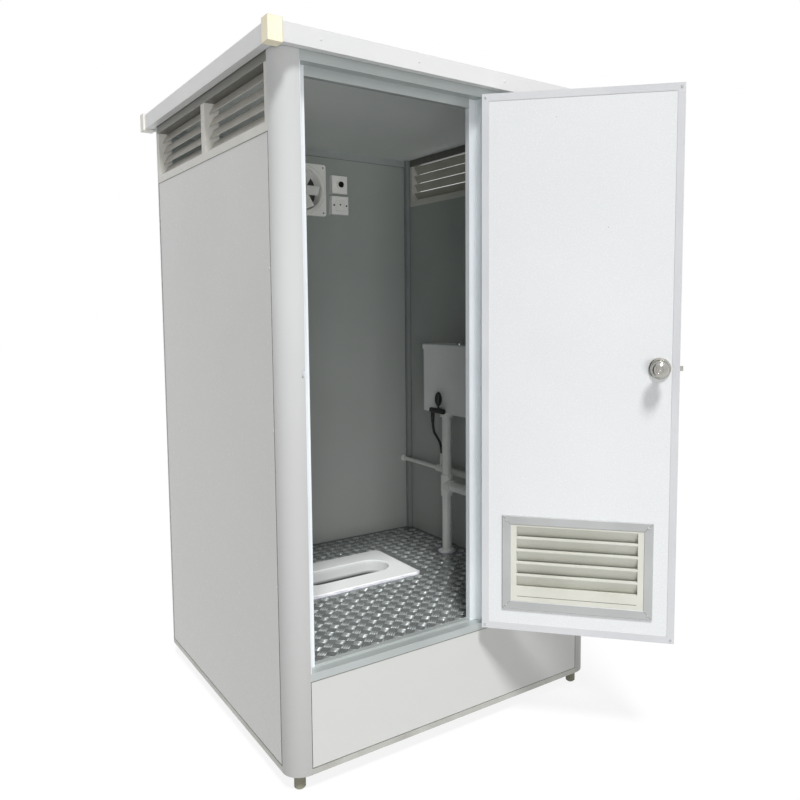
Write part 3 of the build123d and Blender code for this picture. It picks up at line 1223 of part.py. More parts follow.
LATCH_BACK = KNOB_X + SPINDLE_RADIUS + LATCH_THROW + STRIKE_ROOM
with BuildPart(DOOR) as latch_bolt:
    span(
        (LATCH_BACK, LEAF_MIDDLE - LATCH_WIDTH / 2, KNOB_Z - LATCH_HEIGHT / 2),
        (EDGE_END + LATCH_THROW, LEAF_MIDDLE + LATCH_WIDTH / 2, KNOB_Z + LATCH_HEIGHT / 2),
    )
    bolt_nose = latch_bolt.edges().filter_by(Axis.Z).sort_by(lambda e: DOOR.to_local_coords(e.center()).X)
    chamfer(bolt_nose[-2:].sort_by(lambda e: DOOR.to_local_coords(e.center()).Y)[0], LATCH_THROW * 0.9)
save(latch_bolt, "latch_bolt")
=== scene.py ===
import json
import math

import bpy
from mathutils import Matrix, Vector


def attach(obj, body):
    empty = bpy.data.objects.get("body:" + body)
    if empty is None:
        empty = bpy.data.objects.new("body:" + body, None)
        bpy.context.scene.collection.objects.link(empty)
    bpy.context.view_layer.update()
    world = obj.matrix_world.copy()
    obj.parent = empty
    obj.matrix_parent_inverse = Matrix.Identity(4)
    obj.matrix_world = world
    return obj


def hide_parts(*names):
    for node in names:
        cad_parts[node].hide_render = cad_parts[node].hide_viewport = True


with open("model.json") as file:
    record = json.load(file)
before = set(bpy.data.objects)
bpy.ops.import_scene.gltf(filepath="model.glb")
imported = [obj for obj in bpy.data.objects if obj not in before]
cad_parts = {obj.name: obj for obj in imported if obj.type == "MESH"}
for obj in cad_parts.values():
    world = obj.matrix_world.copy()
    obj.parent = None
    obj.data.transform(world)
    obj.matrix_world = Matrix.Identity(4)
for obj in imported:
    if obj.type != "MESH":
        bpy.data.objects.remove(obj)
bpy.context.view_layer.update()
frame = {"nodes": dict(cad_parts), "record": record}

# Levels and places that the dressing shares with the solids, in metres
FLOOR_TOP = 0.361
RAIL_TOP = 0.076
SILL_BOTTOM = 0.350
SILL_TOP = 0.375
HEAD_BOTTOM = 2.188
LOUVRE_BOTTOM = 1.993
HALF_W = 0.625
HALF_D = 0.650
INNER_X = 0.575
INNER_Y = 0.600
POST_X = 0.555
POST_Y = 0.580
FRAME_BACK = -0.588
PANEL_LEFT = 0.130
PAN_LOW = (-0.317, -0.052)
PAN_HIGH = (0.223, 0.324)
PAN_CORNER = 0.028
COLLAR = (0.488, 0.136)
COLLAR_RADIUS = 0.035
FAN_CENTRE = (0.0, 2.031)
LAMP_CENTRE = (0.186, 2.065)
SWITCH_CENTRE = (0.186, 1.969)
DOOR_ORIGIN = Vector((0.1005, -0.657, 0.0))
DOOR_OPEN = 130.7
DOOR_ANGLE = math.radians(180 + DOOR_OPEN)
DOOR_ALONG = Vector((math.cos(DOOR_ANGLE), math.sin(DOOR_ANGLE), 0.0))
DOOR_OUT = Vector((-math.sin(DOOR_ANGLE), math.cos(DOOR_ANGLE), 0.0))
DOOR_INSIDE = -0.044
KNOB = (0.5885, 1.291)
UP = Vector((0.0, 0.0, 1.0))
SKIN = 0.001


def on_door(along, out, height):
    """A point in the door's own frame: along the leaf, out of its outer face, and up."""
    return DOOR_ORIGIN + DOOR_ALONG * along + DOOR_OUT * out + UP * height


# Camera
CAMERA_DOWN = 4.87
CAMERA_TURN = -37.02
lens = bpy.data.cameras.new("camera")
lens.sensor_width = 36.0
lens.lens = 34.6
lens.shift_x = -0.1003
lens.shift_y = -0.0305
camera = bpy.data.objects.new("camera", lens)
camera.location = (-1.500, -2.757, 1.479)
camera.rotation_euler = (math.radians(90 - CAMERA_DOWN), 0.0, math.radians(CAMERA_TURN))
bpy.context.scene.collection.objects.link(camera)
bpy.context.scene.camera = camera

# Fill hose from the inlet valve to the supply tee
HOSE_RADIUS = 0.006
HOSE_ROUTE = [
    (0.417, 0.144, 0.993),
    (0.417, 0.144, 0.933),
    (0.4715, 0.193, 0.8925),
    (0.538, 0.252, 0.834),
    (0.538, 0.252, 0.778),
]
hose_line = bpy.data.curves.new("fill_hose_line", "CURVE")
hose_line.dimensions = "3D"
hose_line.bevel_depth = HOSE_RADIUS
hose_line.bevel_resolution = 5
hose_line.resolution_u = 20
hose_spline = hose_line.splines.new("NURBS")
hose_spline.points.add(len(HOSE_ROUTE) - 1)
for point, place in zip(hose_spline.points, HOSE_ROUTE):
    point.co = (*place, 1.0)
hose_spline.order_u = 3
hose_spline.use_endpoint_u = True
hose = bpy.data.objects.new("fill_hose_skin", hose_line)
bpy.context.scene.collection.objects.link(hose)


# Materials
def tint(red, green, blue):
    """A colour given as it looks on screen, 0 to 255, as the shader takes it."""
    parts = []
    for value in (red, green, blue):
        value /= 255
        parts.append(value / 12.92 if value <= 0.04045 else ((value + 0.055) / 1.055) ** 2.4)
    return (*parts, 1.0)


def add(tree, kind, inputs=None, **settings):
    """Add a node, with its inputs linked or set, and give back its outputs."""
    made = tree.nodes.new(kind)
    for key, value in settings.items():
        setattr(made, key, value)
    for key, value in (inputs or {}).items():
        if isinstance(value, bpy.types.NodeSocket):
            tree.links.new(value, made.inputs[key])
        else:
            made.inputs[key].default_value = value
    return made.outputs


def spread(tree, value, low, high, to_low=0.0, to_high=1.0):
    """Stretch a node's value from one range to another."""
    inputs = {"Value": value, "From Min": low, "From Max": high, "To Min": to_low, "To Max": to_high}
    return add(tree, "ShaderNodeMapRange", inputs)["Result"]


def blend(tree, share, first, second):
    """Mix two colours by a share that varies over the surface."""
    return add(tree, "ShaderNodeMixRGB", {"Fac": share, "Color1": first, "Color2": second})["Color"]


def within(tree, value, limit):
    """One where the size of a coordinate is below a limit, else nought."""
    size = add(tree, "ShaderNodeMath", {0: value}, operation="ABSOLUTE")[0]
    return add(tree, "ShaderNodeMath", {0: size, 1: limit}, operation="LESS_THAN")[0]


def times(tree, first, second):
    """Product of two values that vary over the surface."""
    return add(tree, "ShaderNodeMath", {0: first, 1: second}, operation="MULTIPLY")[0]


CLOUD_RANGE = (0.3, 0.7)
GLOSS_RANGE = (0.25, 0.75)
GLOSS_SPREAD = (0.8, 1.2)
SPECK_SCALE = 9.0
SPECK_EDGE = (0.012, 0.018)
RIM_RANGE = (0.995, 0.85)
RIM_PATCHES = (0.35, 0.6, 0.2, 0.9)
SAG_SCALE = 2.2
SAG_DEPTH = 0.02
RELIEF_DEPTH = 0.0006


def finish(
    name,
    pale,
    deep,
    rough,
    metallic=0.0,
    blotch=3.0,
    grain=(220, 220, 220),
    relief=0.05,
    edge=0.0012,
    worn=None,
    sag=0.0,
    inner=None,
    painted_shade=None,
    specks=None,
    coat=0.0,
    specular=0.5,
):
    """A procedural finish: clouded colour, uneven gloss, fine relief, soft edges and local wear.

    inner gives the colours inside the cabin, painted_shade the colour of a painted shade with the level where
    it is full and the one where it ends, sag the slack of a thin sheet, and specks the colour of sparse
    spots.
    """
    material = bpy.data.materials.new(name)
    material.use_nodes = True
    tree = material.node_tree
    shader = tree.nodes["Principled BSDF"]
    place = add(tree, "ShaderNodeTexCoord")["Object"]
    cloud = add(tree, "ShaderNodeTexNoise", {"Vector": place, "Scale": blotch, "Detail": 5.0})[0]
    cloud = spread(tree, cloud, *CLOUD_RANGE)
    stretched = add(tree, "ShaderNodeMapping", {"Vector": place, "Scale": grain})["Vector"]
    fine = add(tree, "ShaderNodeTexNoise", {"Vector": stretched, "Scale": 1.0, "Detail": 3.0})[0]
    axes = add(tree, "ShaderNodeSeparateXYZ", {"Vector": place})
    colour = blend(tree, cloud, tint(*deep), tint(*pale))
    if inner:
        inner_colour = blend(tree, cloud, tint(*inner[1]), tint(*inner[0]))
        across = within(tree, axes["X"], INNER_X + SKIN)
        deep_in = within(tree, axes["Y"], INNER_Y + SKIN)
        colour = blend(tree, times(tree, across, deep_in), colour, inner_colour)
    # Painted shade: the colour blends towards a shade colour from one level to another
    if painted_shade:
        level = spread(tree, axes["Z"], painted_shade[1], painted_shade[2], 1.0, 0.0)
        colour = blend(tree, level, colour, tint(*painted_shade[0]))
    if specks:
        spots = add(tree, "ShaderNodeTexVoronoi", {"Vector": place, "Scale": SPECK_SCALE})["Distance"]
        colour = blend(tree, spread(tree, spots, *SPECK_EDGE, 1.0, 0.0), colour, tint(*specks))
    soft = add(tree, "ShaderNodeBevel", {"Radius": edge}, samples=4)["Normal"]
    if worn:
        face = add(tree, "ShaderNodeNewGeometry")["Normal"]
        along = add(tree, "ShaderNodeVectorMath", {0: soft, 1: face}, operation="DOT_PRODUCT")["Value"]
        rim = times(tree, spread(tree, along, *RIM_RANGE), spread(tree, fine, *RIM_PATCHES))
        colour = blend(tree, rim, colour, tint(*worn))
    tree.links.new(colour, shader.inputs["Base Color"])
    gloss = spread(tree, fine, *GLOSS_RANGE, rough * GLOSS_SPREAD[0], rough * GLOSS_SPREAD[1])
    tree.links.new(gloss, shader.inputs["Roughness"])
    normal = soft
    if sag:
        wave = add(tree, "ShaderNodeTexNoise", {"Vector": place, "Scale": SAG_SCALE, "Detail": 1.0})[0]
        inputs = {"Height": wave, "Normal": normal, "Strength": sag, "Distance": SAG_DEPTH}
        normal = add(tree, "ShaderNodeBump", inputs)["Normal"]
    inputs = {"Height": fine, "Normal": normal, "Strength": relief, "Distance": RELIEF_DEPTH}
    normal = add(tree, "ShaderNodeBump", inputs)["Normal"]
    tree.links.new(normal, shader.inputs["Normal"])
    shader.inputs["Metallic"].default_value = metallic
    shader.inputs["Coat Weight"].default_value = coat
    shader.inputs["Specular IOR Level"].default_value = specular
    return material


ALONG_X = (7, 420, 420)
ALONG_Y = (420, 7, 420)
ALONG_Z = (420, 420, 7)
INNER_SKIN = ((162, 168, 165), (152, 158, 155))
INNER_CEILING = ((232, 236, 233), (224, 228, 225))
INNER_POST = ((150, 158, 158), (136, 144, 144))

# The walls grow darker towards the bottom as a painted shade
WALL = finish(
    "wall_panel", (202, 203, 201), (197, 198, 196), 0.24, blotch=1.6, sag=0.08, relief=0.01, inner=INNER_SKIN,
    painted_shade=((194, 195, 192), -0.6, 2.0), specular=0.35,
)
FASCIA = finish(
    "fascia", (220, 220, 219), (212, 213, 213), 0.34, blotch=2.0, worn=(190, 192, 193), edge=0.002
)
FRAME_UPRIGHT = finish(
    "frame_upright", (232, 237, 240), (220, 225, 228), 0.32, metallic=0.15, grain=ALONG_Z, relief=0.03,
    worn=(242, 244, 246),
)
FRAME_LEVEL = finish(
    "frame_level", (178, 184, 183), (164, 170, 169), 0.34, metallic=0.3, grain=ALONG_X, relief=0.03,
    worn=(232, 234, 234),
)
PIPE = finish("white_pipe", (238, 239, 236), (230, 232, 228), 0.26, blotch=6.0, relief=0.02)
CAP_CREAM = finish(
    "cap_cream", (246, 239, 214), (238, 229, 200), 0.4, blotch=14.0, worn=(206, 195, 165), edge=0.003
)
RIVET_STEEL = finish("rivet_steel", (206, 207, 208), (182, 184, 186), 0.24, metallic=0.8, blotch=60.0)
# The tread bars are paler than the plate they rise from: partly polished tops, partly a painted highlight
TREAD_PAINTED_HIGHLIGHT = finish("tread", (228, 233, 233), (206, 211, 211), 0.26, metallic=0.6, blotch=40.0, relief=0.03)

MATERIALS = {
    "foot_rubber": finish("foot_rubber", (142, 140, 122), (112, 110, 95), 0.5, blotch=30.0, relief=0.3),
    "frame_steel": finish(
        "frame_steel", (186, 186, 181), (164, 163, 157), 0.38, metallic=0.25, worn=(222, 222, 219), blotch=8.0
    ),
    # The posts grow darker towards the bottom as a painted shade
    "post_aluminium": finish(
        "post_aluminium", (197, 198, 198), (191, 192, 192), 0.34, grain=ALONG_Z, blotch=1.2, relief=0.02,
        inner=INNER_POST, painted_shade=((164, 164, 162), -0.2, 1.5), specular=0.35,
    ),
    "wall_panel": WALL,
    # The dark band at the top of the louvre frame is a painted shadow of the roof's overhang
    "louvre_frame": finish(
        "louvre_frame", (206, 205, 199), (194, 193, 186), 0.32, grain=ALONG_Y, relief=0.03,
        worn=(218, 218, 214), blotch=5.0, painted_shade=((100, 99, 93), 2.1898, 2.189),
    ),
    "louvre_blade": finish(
        "louvre_blade", (184, 181, 172), (170, 167, 158), 0.36, grain=ALONG_Y, relief=0.03,
        worn=(208, 207, 201), blotch=7.0,
    ),
    "frame_aluminium": FRAME_UPRIGHT,
    "roof_panel": finish(
        "roof_panel", (210, 212, 212), (200, 202, 202), 0.55, blotch=1.4, sag=0.1, inner=INNER_CEILING,
        worn=(180, 182, 182), specular=0.12,
    ),
    "fascia": FASCIA,
    "corner_cap": FASCIA,
    "chequer_plate": finish(
        "chequer_plate", (160, 165, 164), (140, 145, 145), 0.2, metallic=0.6, blotch=10.0, grain=(90, 90, 90),
        relief=0.05,
    ),
    # The dark grey deep in the bowl is painted shade
    "pan_ceramic": finish(
        "pan_ceramic", (248, 249, 249), (242, 244, 244), 0.08, blotch=4.0, relief=0.01, edge=0.003, coat=0.4,
        painted_shade=((84, 86, 85), 0.315, 0.329),
    ),
    "white_pipe": PIPE,
    "cistern_plastic": finish(
        "cistern_plastic", (240, 242, 241), (233, 236, 235), 0.16, blotch=4.0, relief=0.01, edge=0.003
    ),
    "button_chrome": finish(
        "button_chrome", (222, 223, 224), (206, 207, 209), 0.1, metallic=1.0, grain=(400, 400, 400),
        edge=0.002,
    ),
    "black_plastic": finish(
        "black_plastic", (30, 31, 31), (16, 17, 17), 0.34, blotch=40.0, worn=(66, 67, 66)
    ),
    "hose_rubber": finish(
        "hose_rubber", (44, 45, 45), (22, 23, 23), 0.42, blotch=60.0, grain=(900, 900, 900), relief=0.3
    ),
    "fan_plastic": finish("fan_plastic", (244, 244, 240), (237, 237, 232), 0.36, blotch=9.0, edge=0.003),
    "motor_metal": finish("motor_metal", (62, 64, 66), (40, 42, 44), 0.4, metallic=0.6, blotch=20.0),
    "impeller_plastic": finish(
        "impeller_plastic", (236, 237, 233), (224, 225, 221), 0.34, blotch=12.0, edge=0.002
    ),
    "box_plastic": finish("box_plastic", (246, 246, 243), (240, 240, 236), 0.3, blotch=14.0, edge=0.002),
    "rocker_plastic": finish(
        "rocker_plastic", (244, 244, 240), (236, 236, 231), 0.2, blotch=18.0, edge=0.0015
    ),
    "door_skin": finish(
        "door_skin", (218, 220, 221), (213, 215, 216), 0.26, blotch=1.3, sag=0.05, relief=0.02,
        specks=(150, 152, 154), coat=0.1,
    ),
    "door_edging": finish(
        "door_edging", (206, 207, 209), (196, 197, 200), 0.36, metallic=0.1, grain=(420, 420, 14),
        relief=0.03, worn=(220, 220, 221), specular=0.3,
    ),
    "vent_aluminium": finish(
        "vent_aluminium", (180, 182, 182), (168, 170, 170), 0.34, metallic=0.2, blotch=5.0,
        grain=(60, 60, 240), relief=0.03, worn=(216, 217, 218), edge=0.002,
    ),
    "vent_blade": finish(
        "vent_blade", (210, 210, 201), (198, 198, 188), 0.34, blotch=6.0, relief=0.02, edge=0.0015
    ),
    "hinge_steel": finish(
        "hinge_steel", (122, 124, 126), (78, 80, 82), 0.34, metallic=0.8, grain=ALONG_Z, worn=(196, 197, 198)
    ),
    "knob_steel": finish(
        "knob_steel", (190, 188, 182), (164, 162, 156), 0.18, metallic=1.0, blotch=30.0, grain=(300, 300, 300)
    ),
    "latch_steel": finish("latch_steel", (190, 190, 186), (162, 162, 158), 0.28, metallic=1.0, blotch=30.0),
}
SEALANT = finish(
    "sealant", (226, 226, 232), (188, 188, 198), 0.5, blotch=30.0, grain=(160, 160, 160), relief=0.4
)
GASKET = finish("gasket", (116, 116, 112), (84, 84, 80), 0.6, blotch=40.0)
SOCKET = finish("socket", (64, 60, 54), (36, 34, 30), 0.35, metallic=0.5, blotch=60.0)
DARK_PLASTIC = finish("dark_plastic", (74, 76, 76), (52, 54, 54), 0.5, blotch=20.0, worn=(112, 114, 114))

for entry in frame["record"]["subparts"]:
    for slot in frame["nodes"][entry["node"]].material_slots:
        slot.material = MATERIALS[entry["material_slot"]]
for name in ("head_rail", "door_sill", "back_rail"):
    for slot in frame["nodes"][name].material_slots:
        slot.material = FRAME_LEVEL
for slot in frame["nodes"]["door_rivets"].material_slots:
    slot.material = RIVET_STEEL


CAP_GREY = ((236, 235, 229), (222, 220, 212))


def cap_material():
    """Front left corner cap in cream, the others in the fascia's pale grey."""
    material = CAP_CREAM.copy()
    material.name = "corner_cap"
    tree = material.node_tree
    shader = tree.nodes["Principled BSDF"]
    cream = shader.inputs["Base Color"].links[0].from_socket
    place = add(tree, "ShaderNodeTexCoord")["Object"]
    axes = add(tree, "ShaderNodeSeparateXYZ", {"Vector": place})
    left = add(tree, "ShaderNodeMath", {0: axes["X"], 1: 0.0}, operation="LESS_THAN")[0]
    front = add(tree, "ShaderNodeMath", {0: axes["Y"], 1: 0.0}, operation="LESS_THAN")[0]
    cloud = add(tree, "ShaderNodeTexNoise", {"Vector": place, "Scale": 12.0, "Detail": 4.0})[0]
    pale = blend(tree, cloud, tint(*CAP_GREY[1]), tint(*CAP_GREY[0]))
    tree.links.new(blend(tree, times(tree, left, front), pale, cream), shader.inputs["Base Color"])
    return material


for slot in frame["nodes"]["roof_corner_caps"].material_slots:
    slot.material = cap_material()

# The hose takes its finish and its place
hose.data.materials.append(MATERIALS["hose_rubber"])
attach(hose, "cabin")
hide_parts("fill_hose")


# Dressing pieces, with the number of sides of what is turned
SIDES_SMALL = 14
SIDES_FERRULE = 20
SIDES_SLEEVE = 28
SIDES_MIDDLE = 32
SIDES_FAN = 72


def piece(name, points, faces, body, slot, material=None, smooth=True):
    """Make a mesh that rides on a body."""
    mesh = bpy.data.meshes.new(name)
    mesh.from_pydata([tuple(p) for p in points], [], faces)
    mesh.polygons.foreach_set("use_smooth", [smooth] * len(mesh.polygons))
    mesh.materials.append(material or MATERIALS[slot])
    mesh.validate()
    made = bpy.data.objects.new(name, mesh)
    bpy.context.scene.collection.objects.link(made)
    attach(made, body)
    return made


def turned(spots, axis, profile, segments):
    """Points and faces of the same turned shape at several spots; the profile runs from the rim inwards."""
    axis = Vector(axis).normalized()
    side = axis.orthogonal().normalized()
    cross = axis.cross(side)
    points = []
    faces = []
    for spot in spots:
        first = len(points)
        for radius, height in profile:
            for step in range(segments):
                turn = 2 * math.pi * step / segments
                around = side * math.cos(turn) + cross * math.sin(turn)
                points.append(Vector(spot) + around * radius + axis * height)
        for ring in range(len(profile) - 1):
            for step in range(segments):
                here = first + ring * segments + step
                following = first + ring * segments + (step + 1) % segments
                faces.append((here, following, following + segments, here + segments))
        last = first + (len(profile) - 1) * segments
        faces.append(tuple(range(last, last + segments)))
    return points, faces


BEAD_STEPS = 6
BEAD_WAVES = (1.7, 0.61)
MITRE_LIMIT = 0.3


def beads(paths, normal, radius, lump=0.0):
    """Points and faces of half-round beads along closed paths on a face, mitred at the corners."""
    normal = Vector(normal).normalized()
    points = []
    faces = []
    for path in paths:
        path = [Vector(p) for p in path]
        count = len(path)
        first = len(points)
        for here in range(count):
            before = (path[here] - path[here - 1]).normalized()
            after = (path[(here + 1) % count] - path[here]).normalized()
            across = normal.cross((before + after).normalized())
            mitre = 1 / max(MITRE_LIMIT, across.dot(normal.cross(after)))
            size = radius * (1 + lump * math.sin(here * BEAD_WAVES[0]) * math.sin(here * BEAD_WAVES[1]))
            for step in range(BEAD_STEPS + 1):
                turn = math.pi * step / BEAD_STEPS
                flat = across * size * mitre * math.cos(turn)
                points.append(path[here] + flat + normal * size * math.sin(turn))
        for here in range(count):
            following = (here + 1) % count
            for step in range(BEAD_STEPS):
                a = first + here * (BEAD_STEPS + 1) + step
                b = first + following * (BEAD_STEPS + 1) + step
                faces.append((a, a + 1, b + 1, b))
    return points, faces


def rectangle(axis, level, low, high):
    """Four corners on a plane across an axis, at a level along it."""
    corners = [(low[0], low[1]), (high[0], low[1]), (high[0], high[1]), (low[0], high[1])]
    if axis == "X":
        return [(level, a, b) for a, b in corners]
    return [(a, level, b) for a, b in corners]


def prisms(outlines, along):
    """Points and faces of closed bars: each outline is carried along a vector."""
    along = Vector(along)
    points = []
    faces = []
    for outline in outlines:
        outline = [Vector(p) for p in outline]
        count = len(outline)
        area = Vector()
        for here in range(count):
            area += outline[here - 1].cross(outline[here])
        if area.dot(along) > 0:
            outline.reverse()
        first = len(points)
        points.extend(outline)
        points.extend(p + along for p in outline)
        for here in range(count):
            following = (here + 1) % count
            faces.append((first + following, first + here, first + count + here, first + count + following))
        faces.append(tuple(range(first, first + count)))
        faces.append(tuple(range(first + 2 * count - 1, first + count - 1, -1)))
    return points, faces


# Raised bars of the chequer plate, in groups that lean left and right in turn
TREAD_PITCH = 0.043
TREAD_BARS = 4
TREAD_STEP = 0.0076
TREAD_LENGTH = 0.031
TREAD_WIDTH = 0.0054
TREAD_HEIGHT = 0.0024
TREAD_SINK = 0.0002
TREAD_CORNERS = (
    (-1.0, -1.0, 0.0), (1.0, -1.0, 0.0), (1.0, 1.0, 0.0), (-1.0, 1.0, 0.0),
    (-0.8, 0.0, 1.0), (0.8, 0.0, 1.0),
)
TREAD_SIDES = ((0, 1, 5, 4), (1, 2, 5), (2, 3, 4, 5), (3, 0, 4), (3, 2, 1, 0))
TREAD_MARGIN = 0.004
TREAD_LEAN = 45
tread_points = []
tread_faces = []
columns = int((2 * INNER_X - TREAD_PITCH) / TREAD_PITCH)
rows = int((INNER_Y - FRAME_BACK - TREAD_PITCH) / TREAD_PITCH)
for column in range(columns + 1):
    for row in range(rows + 1):
        x = (column - columns / 2) * TREAD_PITCH
        y = (INNER_Y + FRAME_BACK) / 2 + (row - rows / 2) * TREAD_PITCH
        margin = TREAD_PITCH / 2 + TREAD_MARGIN
        over_pan = (
            PAN_LOW[0] - margin < x < PAN_HIGH[0] + margin and PAN_LOW[1] - margin < y < PAN_HIGH[1] + margin
        )
        over_collar = math.hypot(x - COLLAR[0], y - COLLAR[1]) < COLLAR_RADIUS + margin
        in_corner = abs(x) > POST_X - margin and abs(y) > POST_Y - margin
        if over_pan or over_collar or in_corner:
            continue
        lean = math.radians(TREAD_LEAN if (column + row) % 2 else -TREAD_LEAN)
        for bar in range(TREAD_BARS):
            shift = (bar - (TREAD_BARS - 1) / 2) * TREAD_STEP
            first = len(tread_points)
            for long, wide, height in TREAD_CORNERS:
                along = long * TREAD_LENGTH / 2
                across = wide * TREAD_WIDTH / 2 + shift
                tread_points.append(
                    (
                        x + along * math.cos(lean) - across * math.sin(lean),
                        y + along * math.sin(lean) + across * math.cos(lean),
                        FLOOR_TOP - TREAD_SINK + (TREAD_HEIGHT + TREAD_SINK) * height,
                    )
                )
            for corners in TREAD_SIDES:
                tread_faces.append(tuple(first + corner for corner in corners))
# The bars take the paler finish as a painted highlight
piece("floor_tread_bars", tread_points, tread_faces, "cabin", "chequer_plate", TREAD_PAINTED_HIGHLIGHT)

# Lumpy sealant round the pan's rim and round the foot of the flush pipe
SEALANT_RADIUS = 0.006
SEALANT_LUMP = 0.35
CORNER_STEPS = 8
SIDE_STEPS = 30
COLLAR_STEPS = 32
pan_path = []
for centre_x, centre_y, start in (
    (PAN_HIGH[0] - PAN_CORNER, PAN_HIGH[1] - PAN_CORNER, 0),
    (PAN_LOW[0] + PAN_CORNER, PAN_HIGH[1] - PAN_CORNER, 90),
    (PAN_LOW[0] + PAN_CORNER, PAN_LOW[1] + PAN_CORNER, 180),
    (PAN_HIGH[0] - PAN_CORNER, PAN_LOW[1] + PAN_CORNER, 270),
):
    corner = []
    for step in range(CORNER_STEPS + 1):
        turn = math.radians(start + 90 * step / CORNER_STEPS)
        corner.append((centre_x + PAN_CORNER * math.cos(turn), centre_y + PAN_CORNER * math.sin(turn)))
    if pan_path:
        before = pan_path[-1]
        for step in range(1, SIDE_STEPS):
            share = step / SIDE_STEPS
            along = before[0] + (corner[0][0] - before[0]) * share
            pan_path.append((along, before[1] + (corner[0][1] - before[1]) * share))
    pan_path.extend(corner)
collar_path = [
    (
        COLLAR[0] + COLLAR_RADIUS * math.cos(2 * math.pi * step / COLLAR_STEPS),
        COLLAR[1] + COLLAR_RADIUS * math.sin(2 * math.pi * step / COLLAR_STEPS),
    )
    for step in range(COLLAR_STEPS)
]
sealant_paths = [[(x, y, FLOOR_TOP) for x, y in path] for path in (pan_path, collar_path)]
sealant = beads(sealant_paths, UP, SEALANT_RADIUS, SEALANT_LUMP)
piece("floor_sealant", *sealant, "cabin", "pan_ceramic", SEALANT)

# Dark gaskets where the panels sit in the posts and rails
GASKET_RADIUS = 0.0011
side_low = (-POST_Y, RAIL_TOP)
side_high = (POST_Y, LOUVRE_BOTTOM)
piece(
    "left_panel_gasket", *beads([rectangle("X", -HALF_W, side_low, side_high)], (-1, 0, 0), GASKET_RADIUS),
    "cabin", "wall_panel", GASKET,
)
piece(
    "right_panel_gasket", *beads([rectangle("X", HALF_W, side_low, side_high)], (1, 0, 0), GASKET_RADIUS),
    "cabin", "wall_panel", GASKET,
)
piece(
    "back_panel_gasket",
    *beads([rectangle("Y", HALF_D, (-POST_X, RAIL_TOP), (POST_X, HEAD_BOTTOM))], (0, 1, 0), GASKET_RADIUS),
    "cabin", "wall_panel", GASKET,
)
front_paths = [
    rectangle("Y", -HALF_D, (-POST_X, RAIL_TOP), (POST_X, SILL_BOTTOM)),
    rectangle("Y", -HALF_D, (PANEL_LEFT, SILL_TOP), (POST_X, HEAD_BOTTOM)),
]
piece("front_panel_gaskets", *beads(front_paths, (0, -1, 0), GASKET_RADIUS), "cabin", "wall_panel", GASKET)

# Domed rivets that hold the panels to the posts
RIVET = ((0.0038, 0.0), (0.0036, 0.0006), (0.0026, 0.0013), (0.0012, 0.0016))
RIVET_LEVELS = (0.16, 0.64, 1.12, 1.60)
RIVET_INSET = 0.008
for name, side in (("left", -1), ("right", 1)):
    spots = [
        (side * HALF_W, end * (POST_Y - RIVET_INSET), level) for end in (-1, 1) for level in RIVET_LEVELS
    ]
    rivets = turned(spots, (side, 0, 0), RIVET, SIDES_SMALL)
    piece(f"{name}_rivets", *rivets, "cabin", "hinge_steel", RIVET_STEEL)
back_spots = [(end * (POST_X - RIVET_INSET), HALF_D, level) for end in (-1, 1) for level in RIVET_LEVELS]
rivets = turned(back_spots, (0, 1, 0), RIVET, SIDES_SMALL)
piece("back_rivets", *rivets, "cabin", "hinge_steel", RIVET_STEEL)
FASCIA_FACE = -0.679
FASCIA_MIDDLE = 2.246
FASCIA_RIVETS = (-0.50, -0.17, 0.17, 0.50)
fascia_spots = [(x, FASCIA_FACE, FASCIA_MIDDLE) for x in FASCIA_RIVETS]
piece("fascia_rivets", *turned(fascia_spots, (0, -1, 0), RIVET, SIDES_SMALL), "cabin", "fascia")

# Turn button and rings on the knobs' faces
KNOB_REACH = 0.067
LEAF = 0.036
BUTTON = (
    (0.0145, 0.0), (0.0142, 0.0014), (0.0120, 0.0020), (0.0104, 0.0012), (0.0098, -0.0002), (0.0066, -0.0002),
    (0.0062, 0.0030), (0.0052, 0.0040), (0.0030, 0.0040), (0.0026, 0.0026), (0.0010, 0.0026),
)
knob_spots = [on_door(KNOB[0], DOOR_INSIDE - KNOB_REACH, KNOB[1])]
piece("knob_turn_button", *turned(knob_spots, -DOOR_OUT, BUTTON, SIDES_MIDDLE), "knob", "knob_steel")
knob_spots = [on_door(KNOB[0], DOOR_INSIDE + LEAF + KNOB_REACH, KNOB[1])]
piece("knob_key_ring", *turned(knob_spots, DOOR_OUT, BUTTON, SIDES_MIDDLE), "knob", "knob_steel")

# Mitre seams at the corners of the door's vent border
VENT_LEFT = 0.0735
VENT_RIGHT = 0.5795
VENT_BOTTOM = 0.454
VENT_TOP = 0.781
VENT_BORDER = 0.030
VENT_PROUD = 0.006
VENT_FACE = DOOR_INSIDE - VENT_PROUD
MITRE_SHARES = (0.06, 0.94)
MITRE_PROFILE = ((-0.0007, -0.0002), (0.0, 0.0003), (0.0007, -0.0002))
seam_points = []
seam_faces = []
for edge_x, side_x in ((VENT_LEFT, 1), (VENT_RIGHT, -1)):
    for edge_z, side_z in ((VENT_BOTTOM, 1), (VENT_TOP, -1)):
        first = len(seam_points)
        for share in MITRE_SHARES:
            for across, proud in MITRE_PROFILE:
                along = edge_x + side_x * (VENT_BORDER * share + across)
                level = edge_z + side_z * (VENT_BORDER * share - across)
                seam_points.append(on_door(along, VENT_FACE - proud, level))
        seam_faces.append((first, first + 1, first + 4, first + 3))
        seam_faces.append((first + 1, first + 2, first + 5, first + 4))
piece("vent_mitre_seams", seam_points, seam_faces, "door", "vent_aluminium", GASKET)
